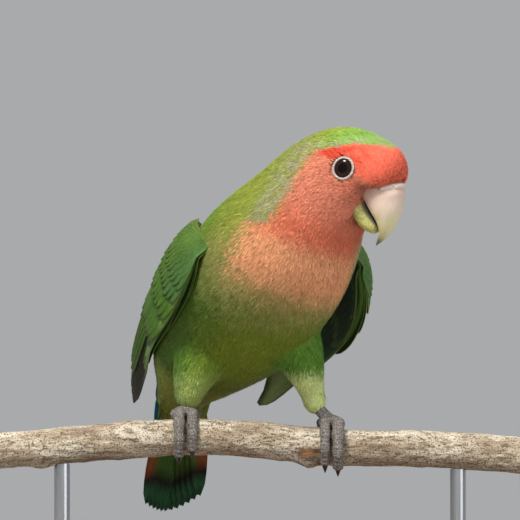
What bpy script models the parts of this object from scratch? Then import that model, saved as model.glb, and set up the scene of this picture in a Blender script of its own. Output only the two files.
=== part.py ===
# Peach-faced lovebird: a still, life-size display model on a cut perch with a plain stand.
# Sizes are in millimetres from the middle of the perch and are turned into metres by MM.

import bmesh
import bpy
import numpy as np

MM = 0.001
GAP = 0.3

# Stand and perch
BASE_SIZE = (150.0, 108.0, 10.0)
BASE_BEVEL = 1.5
PERCH_Y = -7.0
PERCH_Z = 50.0
PERCH_HALF_LENGTH = 86.0
PERCH_RADIUS = 5.6
PERCH_LINE = (
    (-105.0, -4.4), (-78.8, -3.3), (-60.6, -1.8), (-42.4, -0.3), (-24.2, 0.8), (-3.0, 0.2),
    (12.1, -1.3), (27.3, -2.5), (42.4, -2.6), (60.6, -3.3), (78.8, -4.8), (105.0, -6.6),
)
PERCH_KNOTS = ((14.5, 0.3, 1.5), (-66.0, 0.0, 1.2), (47.0, 2.4, 0.7), (-40.0, 3.6, 0.7))
ROD_X = 60.0
ROD_RADIUS = 2.4

# Body: x, y, z, half width and half height of each station from the rump to the forehead
BODY_SPINE = (
    (-21.5, 33.5, 18.5, 9.8, 8.5),
    (-15.2, 23.0, 28.5, 17.0, 15.0),
    (-6.2, 9.4, 39.0, 22.5, 20.0),
    (1.6, -4.8, 51.2, 23.4, 22.0),
    (9.3, -12.8, 61.4, 20.8, 19.0),
    (15.2, -16.9, 71.2, 16.0, 15.6),
    (21.4, -19.5, 78.6, 13.8, 13.8),
    (29.4, -22.3, 80.9, 12.8, 11.0),
    (37.8, -26.4, 81.3, 8.2, 6.8),
)
BODY_AHEAD = (0.279, -0.810, 0.515)
BODY_UP = (-0.17, 0.50, 0.857)
HEAD_UP = (0.387, -0.206, 0.899)
BODY_BLEND = 4.0
CHAIN_COUNT = 34
CHAIN_LENGTH = 0.8
SECTION_TURN = (1.5, 8.0)
TORSO_FROM = 0.2
TORSO_TO = 4.55
NECK_TO = 5.7
RING_POINTS = 32

# Head, in millimetres forward, up and left of its middle
HEAD_MIDDLE = (28.0, -21.0, 80.0)
HEAD_YAW = 62.0
HEAD_PITCH = -26.0
HEAD_MASSES = (
    ((2.0, -8.0, 0.0), (6.8, 10.2, 8.6)),
    ((-2.0, 0.6, 0.0), (12.5, 13.4, 11.6)),
)
EYE_FORWARD = 3.0
EYE_UP = 3.8
EYE_RADIUS = 3.1
EYE_SINK = 2.75
LID_RING = 3.1
LID_THICK = 0.55
LID_RISE = 2.35
EYE_NARROW = 0.93

# Bill rows: top forward and up, bottom forward and up, half width
BILL_UPPER = (
    (12.5, 6.0, 4.0, -2.0, 6.6),
    (16.9, 3.6, 7.9, -3.8, 6.9),
    (18.4, 0.2, 9.9, -5.2, 6.4),
    (19.3, -3.1, 12.0, -6.8, 5.5),
    (19.4, -6.7, 13.9, -8.1, 4.3),
    (18.9, -10.2, 15.5, -9.8, 3.0),
    (18.2, -12.4, 16.2, -11.7, 1.9),
    (17.3, -14.2, 16.2, -13.5, 1.0),
)
BILL_UPPER_TIP = (16.3, -15.7)
BILL_LOWER = (
    (3.0, -5.0, 3.0, -10.5, 6.4),
    (7.5, -6.2, 7.6, -11.4, 6.4),
    (9.9, -7.7, 9.8, -12.5, 5.7),
    (12.3, -9.3, 12.2, -12.9, 4.5),
    (14.2, -10.3, 14.1, -12.6, 2.7),
)
BILL_LOWER_TIP = (15.7, -11.4)
BILL_POINTS = 14
CERE_ROW = 0.75
CERE_RADIUS = 0.95
CERE_SPAN = 1.25
NOSTRIL_ANGLE = 0.62
NOSTRIL_RADIUS = 0.5

# Wings: leading edge and dorsal edge of each station from the wrist to the tip
WING_RIGHT_EDGE = (
    (-15.8, -20.6, 59.5), (-18.6, -18.0, 51.0), (-22.5, -11.6, 42.0), (-27.2, 0.0, 34.0),
    (-31.0, 13.0, 28.5), (-34.6, 28.5, 22.4), (-37.2, 46.0, 15.6), (-38.6, 60.0, 10.8),
)
WING_RIGHT_BACK = (
    (-13.5, -13.0, 65.5), (-17.5, 0.0, 65.6), (-22.5, 11.0, 61.0), (-27.0, 21.5, 52.5),
    (-32.0, 31.5, 41.5), (-36.0, 41.0, 30.5), (-38.6, 51.5, 19.5), (-38.9, 61.0, 12.4),
)
WING_RIGHT_OUT = (-0.965, -0.255, 0.055)
WING_LEFT_EDGE = (
    (26.5, -8.0, 57.0), (30.0, -3.0, 49.5), (30.4, 7.0, 39.0), (26.5, 19.5, 29.8),
    (19.2, 32.5, 23.4), (10.8, 46.5, 18.0), (4.2, 60.0, 13.0), (-0.6, 69.0, 9.8),
)
WING_LEFT_BACK = (
    (21.0, -2.0, 62.5), (22.5, 8.0, 64.0), (20.5, 19.5, 61.0), (15.0, 29.5, 51.5),
    (8.5, 39.5, 40.5), (3.4, 49.5, 29.5), (-0.4, 60.5, 18.5), (-2.2, 70.0, 11.6),
)
WING_LEFT_OUT = (0.90, 0.40, 0.12)
WING_BULGE = (2.5, 4.2, 5.2, 5.0, 4.0, 2.6, 1.2, 0.4)
WING_CLEAR = 1.9
WING_GRID = (29, 11)
CORE_TO = 0.56
CORE_OUTER = 1.9
CORE_INNER = 1.0
SHOULDER_SIZE = (8.0, 7.0, 6.0)
VANE_THICK = 0.55
VANE_TIP_THICK = 0.35
VANE_STEPS = 4
VANE_TILT = 1.5

# Wing tiers: count, root along, tip along at the edge and at the back, span across, width, lift at root and tip
WING_TIERS = (
    (6, 0.36, 1.0, 0.86, 0.14, 0.60, 7.8, 0.1, 0.1),
    (6, 0.30, 0.84, 0.66, 0.32, 0.90, 8.2, 0.5, 1.5),
    (6, 0.17, 0.56, 0.50, 0.11, 0.91, 7.2, 0.9, 2.7),
    (5, 0.05, 0.36, 0.32, 0.15, 0.87, 7.2, 1.1, 3.3),
)

# Tail: middle line, half width of the fan and the vanes
TAIL_LINE = ((-21.6, 33.6, 18.4), (-23.4, 39.0, 12.0), (-25.0, 46.5, 2.5), (-26.6, 57.0, -11.0), (-28.0, 66.5, -23.5))
TAIL_SIDE = (0.93, 0.33, 0.12)
TAIL_VANES = 5
TAIL_VANE_WIDTH = 6.6
TAIL_SPREAD = 7.6
TAIL_STEP = 0.85
TAIL_GRADUATION = 0.10
TAIL_CORE = ((0.0, 9.4, 8.0), (0.55, 9.3, 6.6), (1.1, 8.4, 4.6), (1.6, 6.8, 2.6), (1.95, 4.5, 1.3))
TAIL_COVERTS = ((5, 2.35, 4.6, 7.0), (5, 2.15, -4.2, 7.0))

# Legs: middle line with radius, from the belly to the ankle
LEG_RIGHT = (
    (-14.5, 5.0, 32.0, 9.4), (-18.2, 3.6, 24.5, 7.6), (-20.6, 1.8, 18.0, 5.2), (-21.7, 0.8, 13.6, 3.4), (-22.0, 0.5, 12.0, 2.3),
)
LEG_LEFT = (
    (8.5, 5.0, 33.0, 9.0), (12.2, 3.8, 25.5, 6.9), (14.7, 2.4, 18.2, 4.4), (16.4, 1.4, 12.2, 2.9), (16.9, 1.1, 10.4, 2.1),
)

# Feet: pad place, shank top and the toes as side place, turn round the perch and radius
FOOT_RIGHT = (-22.6, 0.0)
FOOT_LEFT = (21.4, 0.0)
FOOT_PAD = (3.7, 3.6, 2.2)
SHANK_RADII = (1.8, 1.8, 2.1)
SHANK_INSIDE = 1.5
TOES_RIGHT = ((-24.5, 25.0, 112.0, 1.75), (-20.5, 25.0, 98.0, 1.6), (-25.4, -26.0, -104.0, 1.6), (-19.8, -26.0, -90.0, 1.5))
TOES_LEFT = ((19.7, 25.0, 110.0, 1.6), (23.6, 25.0, 118.0, 1.85), (18.8, -26.0, -92.0, 1.5), (24.0, -26.0, -104.0, 1.6))
TOE_TAPER = 0.78
TOE_ROWS = 13
TOE_JOINTS = 3
TOE_JOINT_RISE = 0.16
CLAW_TURN = 36.0
CLAW_RADIUS = 1.0
CLAW_LIFT = 1.6

MATERIALS = {
    "plumage_green": ((0.20, 0.36, 0.06, 1.0), 0.85),
    "plumage_peach": ((0.78, 0.30, 0.18, 1.0), 0.85),
    "flight_feathers": ((0.05, 0.13, 0.04, 1.0), 0.75),
    "bill_horn": ((0.70, 0.62, 0.42, 1.0), 0.35),
    "cere_skin": ((0.72, 0.64, 0.58, 1.0), 0.7),
    "eye_glass": ((0.02, 0.012, 0.01, 1.0), 0.08),
    "eye_ring": ((0.82, 0.82, 0.80, 1.0), 0.6),
    "foot_skin": ((0.24, 0.22, 0.20, 1.0), 0.7),
    "claw_horn": ((0.08, 0.07, 0.06, 1.0), 0.4),
    "bark": ((0.55, 0.47, 0.36, 1.0), 0.85),
    "stand_wood": ((0.16, 0.09, 0.05, 1.0), 0.45),
    "stand_steel": ((0.55, 0.55, 0.56, 1.0), 0.3),
}


def unit(vector):
    vector = np.asarray(vector, float)
    return vector / np.linalg.norm(vector, axis=-1, keepdims=True)


def spline(table, places):
    """Points on a smooth curve through the rows of a table, one row to each whole number."""
    table = np.asarray(table, float)
    places = np.atleast_1d(np.asarray(places, float))
    padded = np.vstack([2 * table[0] - table[1], table, 2 * table[-1] - table[-2]])
    low = np.clip(np.floor(places).astype(int), 0, len(table) - 2)
    t = (places - low)[:, None]
    a, b, c, d = padded[low], padded[low + 1], padded[low + 2], padded[low + 3]
    return 0.5 * (2 * b + (c - a) * t + (2 * a - 5 * b + 4 * c - d) * t ** 2 + (3 * b - a - 3 * c + d) * t ** 3)


def slope(table, places, step=0.02):
    places = np.atleast_1d(np.asarray(places, float))
    return unit((spline(table, places + step) - spline(table, places - step))[:, :3])


def axes_from(forward, up):
    """Rows forward, left and up."""
    forward = unit(forward)
    left = unit(np.cross(up, forward))
    return np.array([forward, left, np.cross(forward, left)])


def material(name):
    found = bpy.data.materials.get(name)
    if found:
        return found
    colour, roughness = MATERIALS[name]
    made = bpy.data.materials.new(name)
    made.use_nodes = True
    shader = made.node_tree.nodes["Principled BSDF"]
    shader.inputs["Base Color"].default_value = colour
    shader.inputs["Roughness"].default_value = roughness
    made.diffuse_color = colour
    return made


def node(name, points, faces, slot, smooth=True):
    """A mesh object from points in millimetres measured from the middle of the perch."""
    points = (np.asarray(points, float) + (0.0, PERCH_Y, PERCH_Z)) * MM
    mesh = bpy.data.meshes.new(name)
    mesh.from_pydata([tuple(p) for p in points], [], [tuple(int(i) for i in f) for f in faces])
    mesh.materials.append(material(slot))
    mesh.update()
    work = bmesh.new()
    work.from_mesh(mesh)
    bmesh.ops.triangulate(work, faces=work.faces)
    bmesh.ops.recalc_face_normals(work, faces=work.faces)
    work.to_mesh(mesh)
    work.free()
    obj = bpy.data.objects.new(name, mesh)
    bpy.context.scene.collection.objects.link(obj)
    if smooth:
        mesh.shade_smooth()
    return obj


def keep_largest(obj):
    """Drops all but the largest closed surface of a mesh."""
    work = bmesh.new()
    work.from_mesh(obj.data)
    left = set(work.faces)
    parts = []
    while left:
        stack = [left.pop()]
        part = set(stack)
        while stack:
            for edge in stack.pop().edges:
                for other in edge.link_faces:
                    if other in left:
                        left.discard(other)
                        part.add(other)
                        stack.append(other)
        parts.append(part)
    largest = max(parts, key=lambda part: sum(face.calc_area() for face in part))
    extra = [face for part in parts if part is not largest for face in part]
    if extra:
        bmesh.ops.delete(work, geom=extra, context="FACES")
        loose = [vert for vert in work.verts if not vert.link_faces]
        bmesh.ops.delete(work, geom=loose, context="VERTS")
    work.to_mesh(obj.data)
    work.free()


def combine(obj, others, operation, solver="MANIFOLD"):
    """One Boolean of the object with a collection of closed meshes, which are then removed."""
    group = bpy.data.collections.new("pieces")
    bpy.context.scene.collection.children.link(group)
    for other in others:
        for home in list(other.users_collection):
            home.objects.unlink(other)
        group.objects.link(other)
    step = obj.modifiers.new("combine", "BOOLEAN")
    step.operation = operation
    step.solver = solver
    step.operand_type = "COLLECTION"
    step.collection = group
    bpy.context.view_layer.objects.active = obj
    bpy.ops.object.modifier_apply(modifier=step.name)
    for other in others:
        bpy.data.objects.remove(other)
    bpy.data.collections.remove(group)
    keep_largest(obj)
    slot = obj.data.materials[0]
    obj.data.materials.clear()
    obj.data.materials.append(slot)


def merge_flat(obj, degrees=1.2):
    """Joins faces that lie in nearly one plane, then makes triangles again."""
    work = bmesh.new()
    work.from_mesh(obj.data)
    bmesh.ops.dissolve_limit(work, angle_limit=np.radians(degrees), verts=work.verts, edges=work.edges)
    bmesh.ops.triangulate(work, faces=work.faces)
    work.to_mesh(obj.data)
    work.free()


def loft(rings, ends=(None, None)):
    """Closed mesh through rings of points. An end is a point, or None for a flat cap."""
    count = len(rings[0])
    points = [p for ring in rings for p in ring]
    faces = []
    for row in range(len(rings) - 1):
        for i in range(count):
            j = (i + 1) % count
            faces.append((row * count + i, row * count + j, (row + 1) * count + j, (row + 1) * count + i))
    for end, row in zip(ends, (0, len(rings) - 1)):
        ring = range(row * count, (row + 1) * count)
        points.append(np.mean(rings[row], axis=0) if end is None else np.asarray(end, float))
        middle = len(points) - 1
        for i in range(count):
            pair = (ring[i], ring[(i + 1) % count])
            faces.append((middle, pair[1], pair[0]) if row == 0 else (middle, pair[0], pair[1]))
    return np.array(points), faces


def tube(line, radii, count, up, squash=1.0, ends=(None, None)):
    """Loft of ellipses along a line of points."""
    line = np.asarray(line, float)
    ahead = unit(np.gradient(line, axis=0))
    angles = np.linspace(0, 2 * np.pi, count, endpoint=False)
    rings = []
    for place, forward, radius in zip(line, ahead, radii):
        axes = axes_from(forward, up)
        rings.append(place + radius * (np.outer(np.cos(angles), axes[2]) * squash + np.outer(np.sin(angles), axes[1])))
    return loft(rings, ends)


# Plumage envelope of the body, as one chain of ellipsoids run together

def heading(yaw, pitch):
    yaw, pitch = np.radians(yaw), np.radians(pitch)
    return np.array([np.cos(pitch) * np.sin(yaw), -np.cos(pitch) * np.cos(yaw), np.sin(pitch)])


HEAD_AXES = axes_from(heading(HEAD_YAW, HEAD_PITCH), (0, 0, 1))


def in_head(forward, up, left=0.0):
    return np.array(HEAD_MIDDLE) + forward * HEAD_AXES[0] + left * HEAD_AXES[1] + up * HEAD_AXES[2]


def section_axes(place):
    """Rows ahead, left and up of the section through the body at this place."""
    mix = np.clip((place - SECTION_TURN[0]) / (SECTION_TURN[1] - SECTION_TURN[0]), 0, 1)
    ahead = np.array(BODY_AHEAD) * (1 - mix) + HEAD_AXES[0] * mix
    return axes_from(ahead, spine_up(place))


def spine_up(place):
    mix = np.clip((place - 3.5) / 2.5, 0, 1)
    return unit(np.array(BODY_UP) * (1 - mix) + np.array(HEAD_UP) * mix)


def body_masses():
    masses = []
    for place in np.linspace(0, len(BODY_SPINE) - 1, CHAIN_COUNT):
        row = spline(BODY_SPINE, place)[0]
        axes = axes_from(slope(BODY_SPINE, place)[0], spine_up(place))
        masses.append((row[:3], axes, np.array([CHAIN_LENGTH * min(row[3], row[4]), row[3], row[4]])))
    for (forward, up, left), sizes in HEAD_MASSES:
        masses.append((in_head(forward, up, left), HEAD_AXES, np.array(sizes)))
    return masses


MASSES = body_masses()


def depth(points):
    """Distance of points outside the plumage envelope, negative inside."""
    total = None
    for middle, axes, sizes in MASSES:
        local = (points - middle) @ axes.T
        first = np.linalg.norm(local / sizes, axis=-1)
        second = np.linalg.norm(local / sizes ** 2, axis=-1)
        near = first * (first - 1) / np.maximum(second, 1e-9)
        if total is None:
            total = near
            continue
        mix = np.clip(0.5 + 0.5 * (near - total) / BODY_BLEND, 0, 1)
        total = near * (1 - mix) + total * mix - BODY_BLEND * mix * (1 - mix)
    return total


def outward(points, step=0.2):
    parts = []
    for i in range(3):
        move = np.zeros(3)
        move[i] = step
        parts.append(depth(points + move) - depth(points - move))
    return unit(np.stack(parts, axis=-1))


def body_ring(place, shift=0.0, grow=0.0, count=RING_POINTS, reach=45.0):
    """Ring of the envelope in the plane square to the spine at this place."""
    axes = section_axes(place)
    middle = spline(BODY_SPINE, place)[0][:3] + shift * axes[0]
    angles = np.linspace(0, 2 * np.pi, count, endpoint=False)
    rays = np.outer(np.cos(angles), axes[2]) + np.outer(np.sin(angles), axes[1])
    near = np.zeros(count)
    going = np.ones(count, bool)
    for far in np.arange(1.0, reach):
        going &= depth(middle + rays * far) < grow
        near[going] = far
    far = near + 1.0
    for _ in range(14):
        half = (near + far) / 2
        inside = depth(middle + rays * half[:, None]) < grow
        near = np.where(inside, half, near)
        far = np.where(inside, far, half)
    return middle + rays * near[:, None]


def body_part(first, last, rows, shifts=(0.0, 0.0), grow=0.0):
    rings = []
    places = np.linspace(first, last, rows)
    for i, place in enumerate(places):
        shift = shifts[0] if i == 0 else shifts[1] if i == rows - 1 else 0.0
        rings.append(body_ring(place, shift, grow))
    return rings


def face_rings(grow=0.0):
    """Rings that close the face beyond the last station, and its foremost point."""
    last = len(BODY_SPINE) - 1
    axes = section_axes(last)
    middle = spline(BODY_SPINE, last)[0][:3]
    near, far = 0.0, 20.0
    for _ in range(26):
        half = (near + far) / 2
        if depth(np.array([middle + half * axes[0]]))[0] < grow:
            near = half
        else:
            far = half
    rings = [body_ring(last, near * part, grow) for part in (0.35, 0.62, 0.82, 0.94)]
    return rings, middle + near * axes[0]


def torso_clear(grow=GAP):
    rings = body_part(TORSO_FROM, TORSO_TO + 0.5, 26, (-GAP, 0.0), grow)
    return node("torso_clear", *loft(rings), "plumage_green")


def head_clear(grow=GAP):
    rings = body_part(NECK_TO - 0.6, len(BODY_SPINE) - 1, 14, grow=grow)
    face, front = face_rings(grow)
    return node("head_clear", *loft(rings + face, (None, front)), "plumage_green")


def build_body():
    node("torso", *loft(body_part(TORSO_FROM, TORSO_TO, 26)), "plumage_green")
    node("neck", *loft(body_part(TORSO_TO, NECK_TO, 7, (GAP, -GAP / 2))), "plumage_green")
    face, front = face_rings()
    rings = body_part(NECK_TO, len(BODY_SPINE) - 1, 11, (GAP / 2, 0.0)) + face
    return node("head", *loft(rings, (None, front)), "plumage_peach")


# Eyes and lids

def eye_axes(side):
    """Middle of the eyeball and rows outward, forward and up, for the eye on this side."""
    near, far = 0.0, 30.0
    start = in_head(EYE_FORWARD, EYE_UP)
    ray = HEAD_AXES[1] * side
    for _ in range(26):
        half = (near + far) / 2
        if depth(np.array([start + half * ray]))[0] < 0:
            near = half
        else:
            far = half
    place = start + near * ray
    out = unit(0.55 * outward(place[None])[0] + 0.45 * ray)
    ahead = unit(HEAD_AXES[0] - np.dot(HEAD_AXES[0], out) * out)
    return place - EYE_SINK * out, np.array([out, ahead, np.cross(out, ahead)])


def turned(profile, middle, axes, count, ends):
    """Solid turned about the first axis from distance and radius pairs, a little narrow fore and aft."""
    angles = np.linspace(0, 2 * np.pi, count, endpoint=False)
    ring = np.outer(np.cos(angles) * EYE_NARROW, axes[1]) + np.outer(np.sin(angles), axes[2])
    rings = [middle + along * axes[0] + radius * ring for along, radius in profile]
    points = [None if end is None else middle + end * axes[0] for end in ends]
    return loft(rings, points)


def build_eye(head, name, side):
    middle, axes = eye_axes(side)
    steps = np.radians(np.linspace(-72, 72, 7))
    ball = [(EYE_RADIUS * np.sin(a), EYE_RADIUS * np.cos(a)) for a in steps]
    node("eye_" + name, *turned(ball, middle, axes, 16, (-EYE_RADIUS, EYE_RADIUS * 1.06)), "eye_glass")
    count = 20
    turns = np.linspace(0, 2 * np.pi, count, endpoint=False)
    around = np.linspace(0, 2 * np.pi, 6, endpoint=False)
    points = []
    faces = []
    for i, turn in enumerate(turns):
        spoke = np.cos(turn) * EYE_NARROW * axes[1] + np.sin(turn) * axes[2]
        for j, angle in enumerate(around):
            radius = LID_RING + LID_THICK * np.cos(angle)
            points.append(middle + radius * spoke + (LID_RISE + LID_THICK * np.sin(angle)) * axes[0])
            ahead = ((i + 1) % count) * len(around)
            nxt = (j + 1) % len(around)
            faces.append((i * len(around) + j, ahead + j, ahead + nxt, i * len(around) + nxt))
    node("eyelid_" + name, points, faces, "eye_ring")
    bowl = EYE_RADIUS + GAP
    rim = LID_RING + LID_THICK + GAP
    profile = [(bowl * np.sin(a), bowl * np.cos(a)) for a in np.radians((-70, -50, -30, -10, 0))]
    profile += [(LID_RISE - LID_THICK - GAP, bowl), (LID_RISE - LID_THICK - GAP, rim), (7.0, rim)]
    socket = node("socket", *turned(profile, middle, axes, 22, (-bowl, None)), "eye_ring")
    combine(head, [socket], "DIFFERENCE")


# Bill

def bill_solid(name, table, tip, slot, shape=1.0):
    rows = np.linspace(0, len(table) - 1, 2 * len(table) - 1)
    angles = np.linspace(0, 2 * np.pi, BILL_POINTS, endpoint=False)
    rings = []
    for row in spline(table, rows):
        top = in_head(row[0], row[1])
        bottom = in_head(row[2], row[3])
        ring = []
        for angle in angles:
            rise = np.cos(angle)
            side = np.sign(np.sin(angle)) * abs(np.sin(angle)) ** shape
            wide = row[4] * (1.0 - 0.12 * rise)
            ring.append((top + bottom) / 2 + rise * (top - bottom) / 2 + side * wide * HEAD_AXES[1])
        rings.append(ring)
    return node(name, *loft(rings, (None, in_head(*tip))), slot)


def cere_line(span):
    row = spline(BILL_UPPER, CERE_ROW)[0]
    top = in_head(row[0], row[1])
    bottom = in_head(row[2], row[3])
    line = []
    for angle in np.linspace(-span, span, 13):
        wide = row[4] * (1.0 - 0.12 * np.cos(angle))
        line.append((top + bottom) / 2 + np.cos(angle) * (top - bottom) / 2 + np.sin(angle) * wide * HEAD_AXES[1])
    return np.array(line)


def build_bill(head):
    upper = bill_solid("bill_upper", BILL_UPPER, BILL_UPPER_TIP, "bill_horn")
    lower = bill_solid("bill_lower", BILL_LOWER, BILL_LOWER_TIP, "bill_horn")
    line = cere_line(CERE_SPAN)
    ahead = HEAD_AXES[0]
    radii = CERE_RADIUS * np.sin(np.linspace(0.35, np.pi - 0.35, 13)) ** 0.5
    cere = node("cere", *tube(line, radii, 10, ahead), "cere_skin")
    wider = node("cere_clear", *tube(cere_line(CERE_SPAN + 0.08), radii + GAP, 12, ahead), "cere_skin")
    combine(upper, [wider, head_clear()], "DIFFERENCE")
    nostrils = []
    row = spline(BILL_UPPER, CERE_ROW)[0]
    middle = (in_head(row[0], row[1]) + in_head(row[2], row[3])) / 2
    for side in (-1, 1):
        place = line[6 + side * int(round(6 * NOSTRIL_ANGLE / CERE_SPAN))]
        out = unit(unit(place - middle) + 0.8 * HEAD_AXES[0])
        start = place + out * CERE_RADIUS * 0.25
        end = place + out * CERE_RADIUS * 2.0
        nostrils.append(node("nostril", *tube([start, end], [NOSTRIL_RADIUS] * 2, 8, HEAD_AXES[2]), "cere_skin"))
    combine(cere, nostrils + [head_clear()], "DIFFERENCE")
    combine(lower, [head_clear()], "DIFFERENCE")


# Wings

def wing_surface(edge, back, out):
    """Grid of points over the wing, held clear of the body, with outward directions."""
    along = np.linspace(0, 1, WING_GRID[0])
    across = np.linspace(0, 1, WING_GRID[1])
    edges = spline(edge, along * (len(edge) - 1))
    backs = spline(back, along * (len(back) - 1))
    bulge = spline(np.array(WING_BULGE)[:, None], along * (len(WING_BULGE) - 1))
    grid = np.empty(WING_GRID + (3,))
    for i, c in enumerate(across):
        grid[:, i] = edges * (1 - c) + backs * c + bulge * 4 * c * (1 - c) * unit(out)
    flat = grid.reshape(-1, 3)
    for _ in range(4):
        lack = WING_CLEAR - depth(flat)
        flat = flat + np.maximum(lack, 0)[:, None] * outward(flat)
    grid = flat.reshape(grid.shape)
    for _ in range(2):
        inner = (grid[:-2, 1:-1] + grid[2:, 1:-1] + grid[1:-1, :-2] + grid[1:-1, 2:]) / 4
        grid[1:-1, 1:-1] = 0.5 * grid[1:-1, 1:-1] + 0.5 * inner
    normals = unit(np.cross(np.gradient(grid, axis=0), np.gradient(grid, axis=1)))
    if np.mean(normals @ unit(out)) < 0:
        normals = -normals
    return grid, normals


def on_grid(grid, along, across):
    """Value of a grid at a place between its points."""
    x = np.clip(along, 0, 1) * (grid.shape[0] - 1)
    y = np.clip(across, 0, 1) * (grid.shape[1] - 1)
    i = min(int(x), grid.shape[0] - 2)
    j = min(int(y), grid.shape[1] - 2)
    u, v = x - i, y - j
    return (grid[i, j] * (1 - u) * (1 - v) + grid[i + 1, j] * u * (1 - v)
            + grid[i, j + 1] * (1 - u) * v + grid[i + 1, j + 1] * u * v)


def vane(middles, sides, normals, widths, tilt):
    """Thin closed strip whose first edge stands higher than its second by the tilt."""
    rings = []
    steps = len(middles)
    for k in range(steps):
        thick = VANE_THICK + (VANE_TIP_THICK - VANE_THICK) * k / (steps - 1)
        low = middles[k] + sides[k] * widths[k] - normals[k] * tilt / 2
        high = middles[k] - sides[k] * widths[k] + normals[k] * tilt / 2
        half = normals[k] * thick / 2
        rings.append((high + half, low + half, low - half, high - half))
    points = [p for ring in rings for p in ring]
    faces = [(0, 3, 2), (0, 2, 1)]
    for k in range(steps - 1):
        a, b = 4 * k, 4 * (k + 1)
        faces += [(a, a + 1, b + 1), (a, b + 1, b), (a + 3, b + 2, a + 2), (a + 3, b + 3, b + 2)]
        faces += [(a + 1, a + 2, b + 2), (a + 1, b + 2, b + 1), (a, b + 3, a + 3), (a, b, b + 3)]
    a = 4 * (steps - 1)
    faces += [(a, a + 1, a + 2), (a, a + 2, a + 3)]
    return points, faces


def vane_widths(width, steps, tip=0.22):
    t = np.linspace(0, 1, steps)
    return width / 2 * np.minimum(0.55 + 1.1 * t, np.sqrt(np.maximum(1 - ((t - 0.62) / 0.395) ** 2 * (t > 0.62), tip ** 2)))


def wing_vane(grid, normals, tier, k):
    count, root, tip_edge, tip_back, low, high, width, lift_root, lift_tip = tier
    part = k / (count - 1)
    across = low + (high - low) * part
    tip = tip_edge + (tip_back - tip_edge) * part
    t = np.linspace(0, 1, VANE_STEPS)
    along = root + (tip - root) * t
    middles, sides, outs = [], [], []
    for s, u in zip(along, t):
        place = on_grid(grid, s, across)
        normal = unit(on_grid(normals, s, across))
        side = unit(on_grid(grid, s, min(across + 0.1, 1)) - on_grid(grid, s, max(across - 0.1, 0)))
        middles.append(place + normal * (lift_root + (lift_tip - lift_root) * u))
        sides.append(side)
        outs.append(normal)
    chord = np.array([np.linalg.norm(on_grid(grid, s, 1) - on_grid(grid, s, 0)) for s in along])
    widths = np.minimum(vane_widths(width, VANE_STEPS), 0.3 * chord + 1.2)
    return vane(middles, sides, outs, widths, VANE_TILT)


def wing_core(grid, normals):
    stations = np.linspace(0.0, CORE_TO, 8)
    across = np.linspace(0.03, 0.97, 7)
    rings = []
    for s in stations:
        fade = np.sqrt(max(1 - (s / CORE_TO) ** 2, 0.02)) * min(1.0, 0.55 + 6 * s)
        upper, lower = [], []
        for c in across:
            round_off = 0.35 + 0.65 * np.sqrt(max(1 - (2 * c - 1) ** 2, 0))
            place = on_grid(grid, s, c)
            normal = unit(on_grid(normals, s, c))
            upper.append(place + normal * (0.25 + CORE_OUTER * fade * round_off))
            lower.append(place - normal * (0.25 + CORE_INNER * fade * round_off))
        rings.append(upper + lower[::-1])
    return loft(rings)


def build_wing(name, edge, back, out):
    grid, normals = wing_surface(edge, back, out)
    wing = node("wing_" + name, *wing_core(grid, normals), "flight_feathers")
    pieces = []
    for tier in WING_TIERS:
        for k in range(tier[0]):
            pieces.append(node("vane", *wing_vane(grid, normals, tier, k), "flight_feathers", False))
    shoulder = on_grid(grid, 0.13, 0.62) - 3.2 * unit(on_grid(normals, 0.13, 0.62))
    pieces.append(egg("shoulder", shoulder, axes_from(on_grid(grid, 0.3, 0.5) - on_grid(grid, 0, 0.5), out), SHOULDER_SIZE))
    combine(wing, pieces, "UNION")
    combine(wing, [torso_clear()], "DIFFERENCE")
    merge_flat(wing)
    wing.data.shade_smooth()
    return wing


def egg(name, middle, axes, sizes, slot="plumage_green", count=12, rows=7):
    steps = np.radians(np.linspace(-72, 72, rows))
    angles = np.linspace(0, 2 * np.pi, count, endpoint=False)
    rings = []
    for step in steps:
        around = np.outer(np.cos(angles) * sizes[1], axes[1]) + np.outer(np.sin(angles) * sizes[2], axes[2])
        rings.append(middle + np.sin(step) * sizes[0] * axes[0] + np.cos(step) * around)
    return node(name, *loft(rings, (middle - sizes[0] * axes[0], middle + sizes[0] * axes[0])), slot)


# Tail

def tail_frame(place):
    middle = spline(TAIL_LINE, place)[0]
    axes = axes_from(slope(TAIL_LINE, place)[0], (0.0, 0.8, 0.6))
    side = unit(np.array(TAIL_SIDE) - np.dot(TAIL_SIDE, axes[0]) * axes[0])
    normal = np.cross(axes[0], side)
    if normal[1] < 0:
        normal = -normal
    return middle, side, normal


def tail_vane(start, end, offset, spread, lift_root, lift_tip, width, tilt):
    middles, sides, outs = [], [], []
    for t in np.linspace(0, 1, VANE_STEPS):
        middle, side, normal = tail_frame(start + (end - start) * t)
        middles.append(middle + side * (offset + spread * t) + normal * (lift_root + (lift_tip - lift_root) * t))
        sides.append(side if offset + spread > 0 else -side)
        outs.append(normal)
    return vane(middles, sides, outs, vane_widths(width, VANE_STEPS), tilt)


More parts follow.
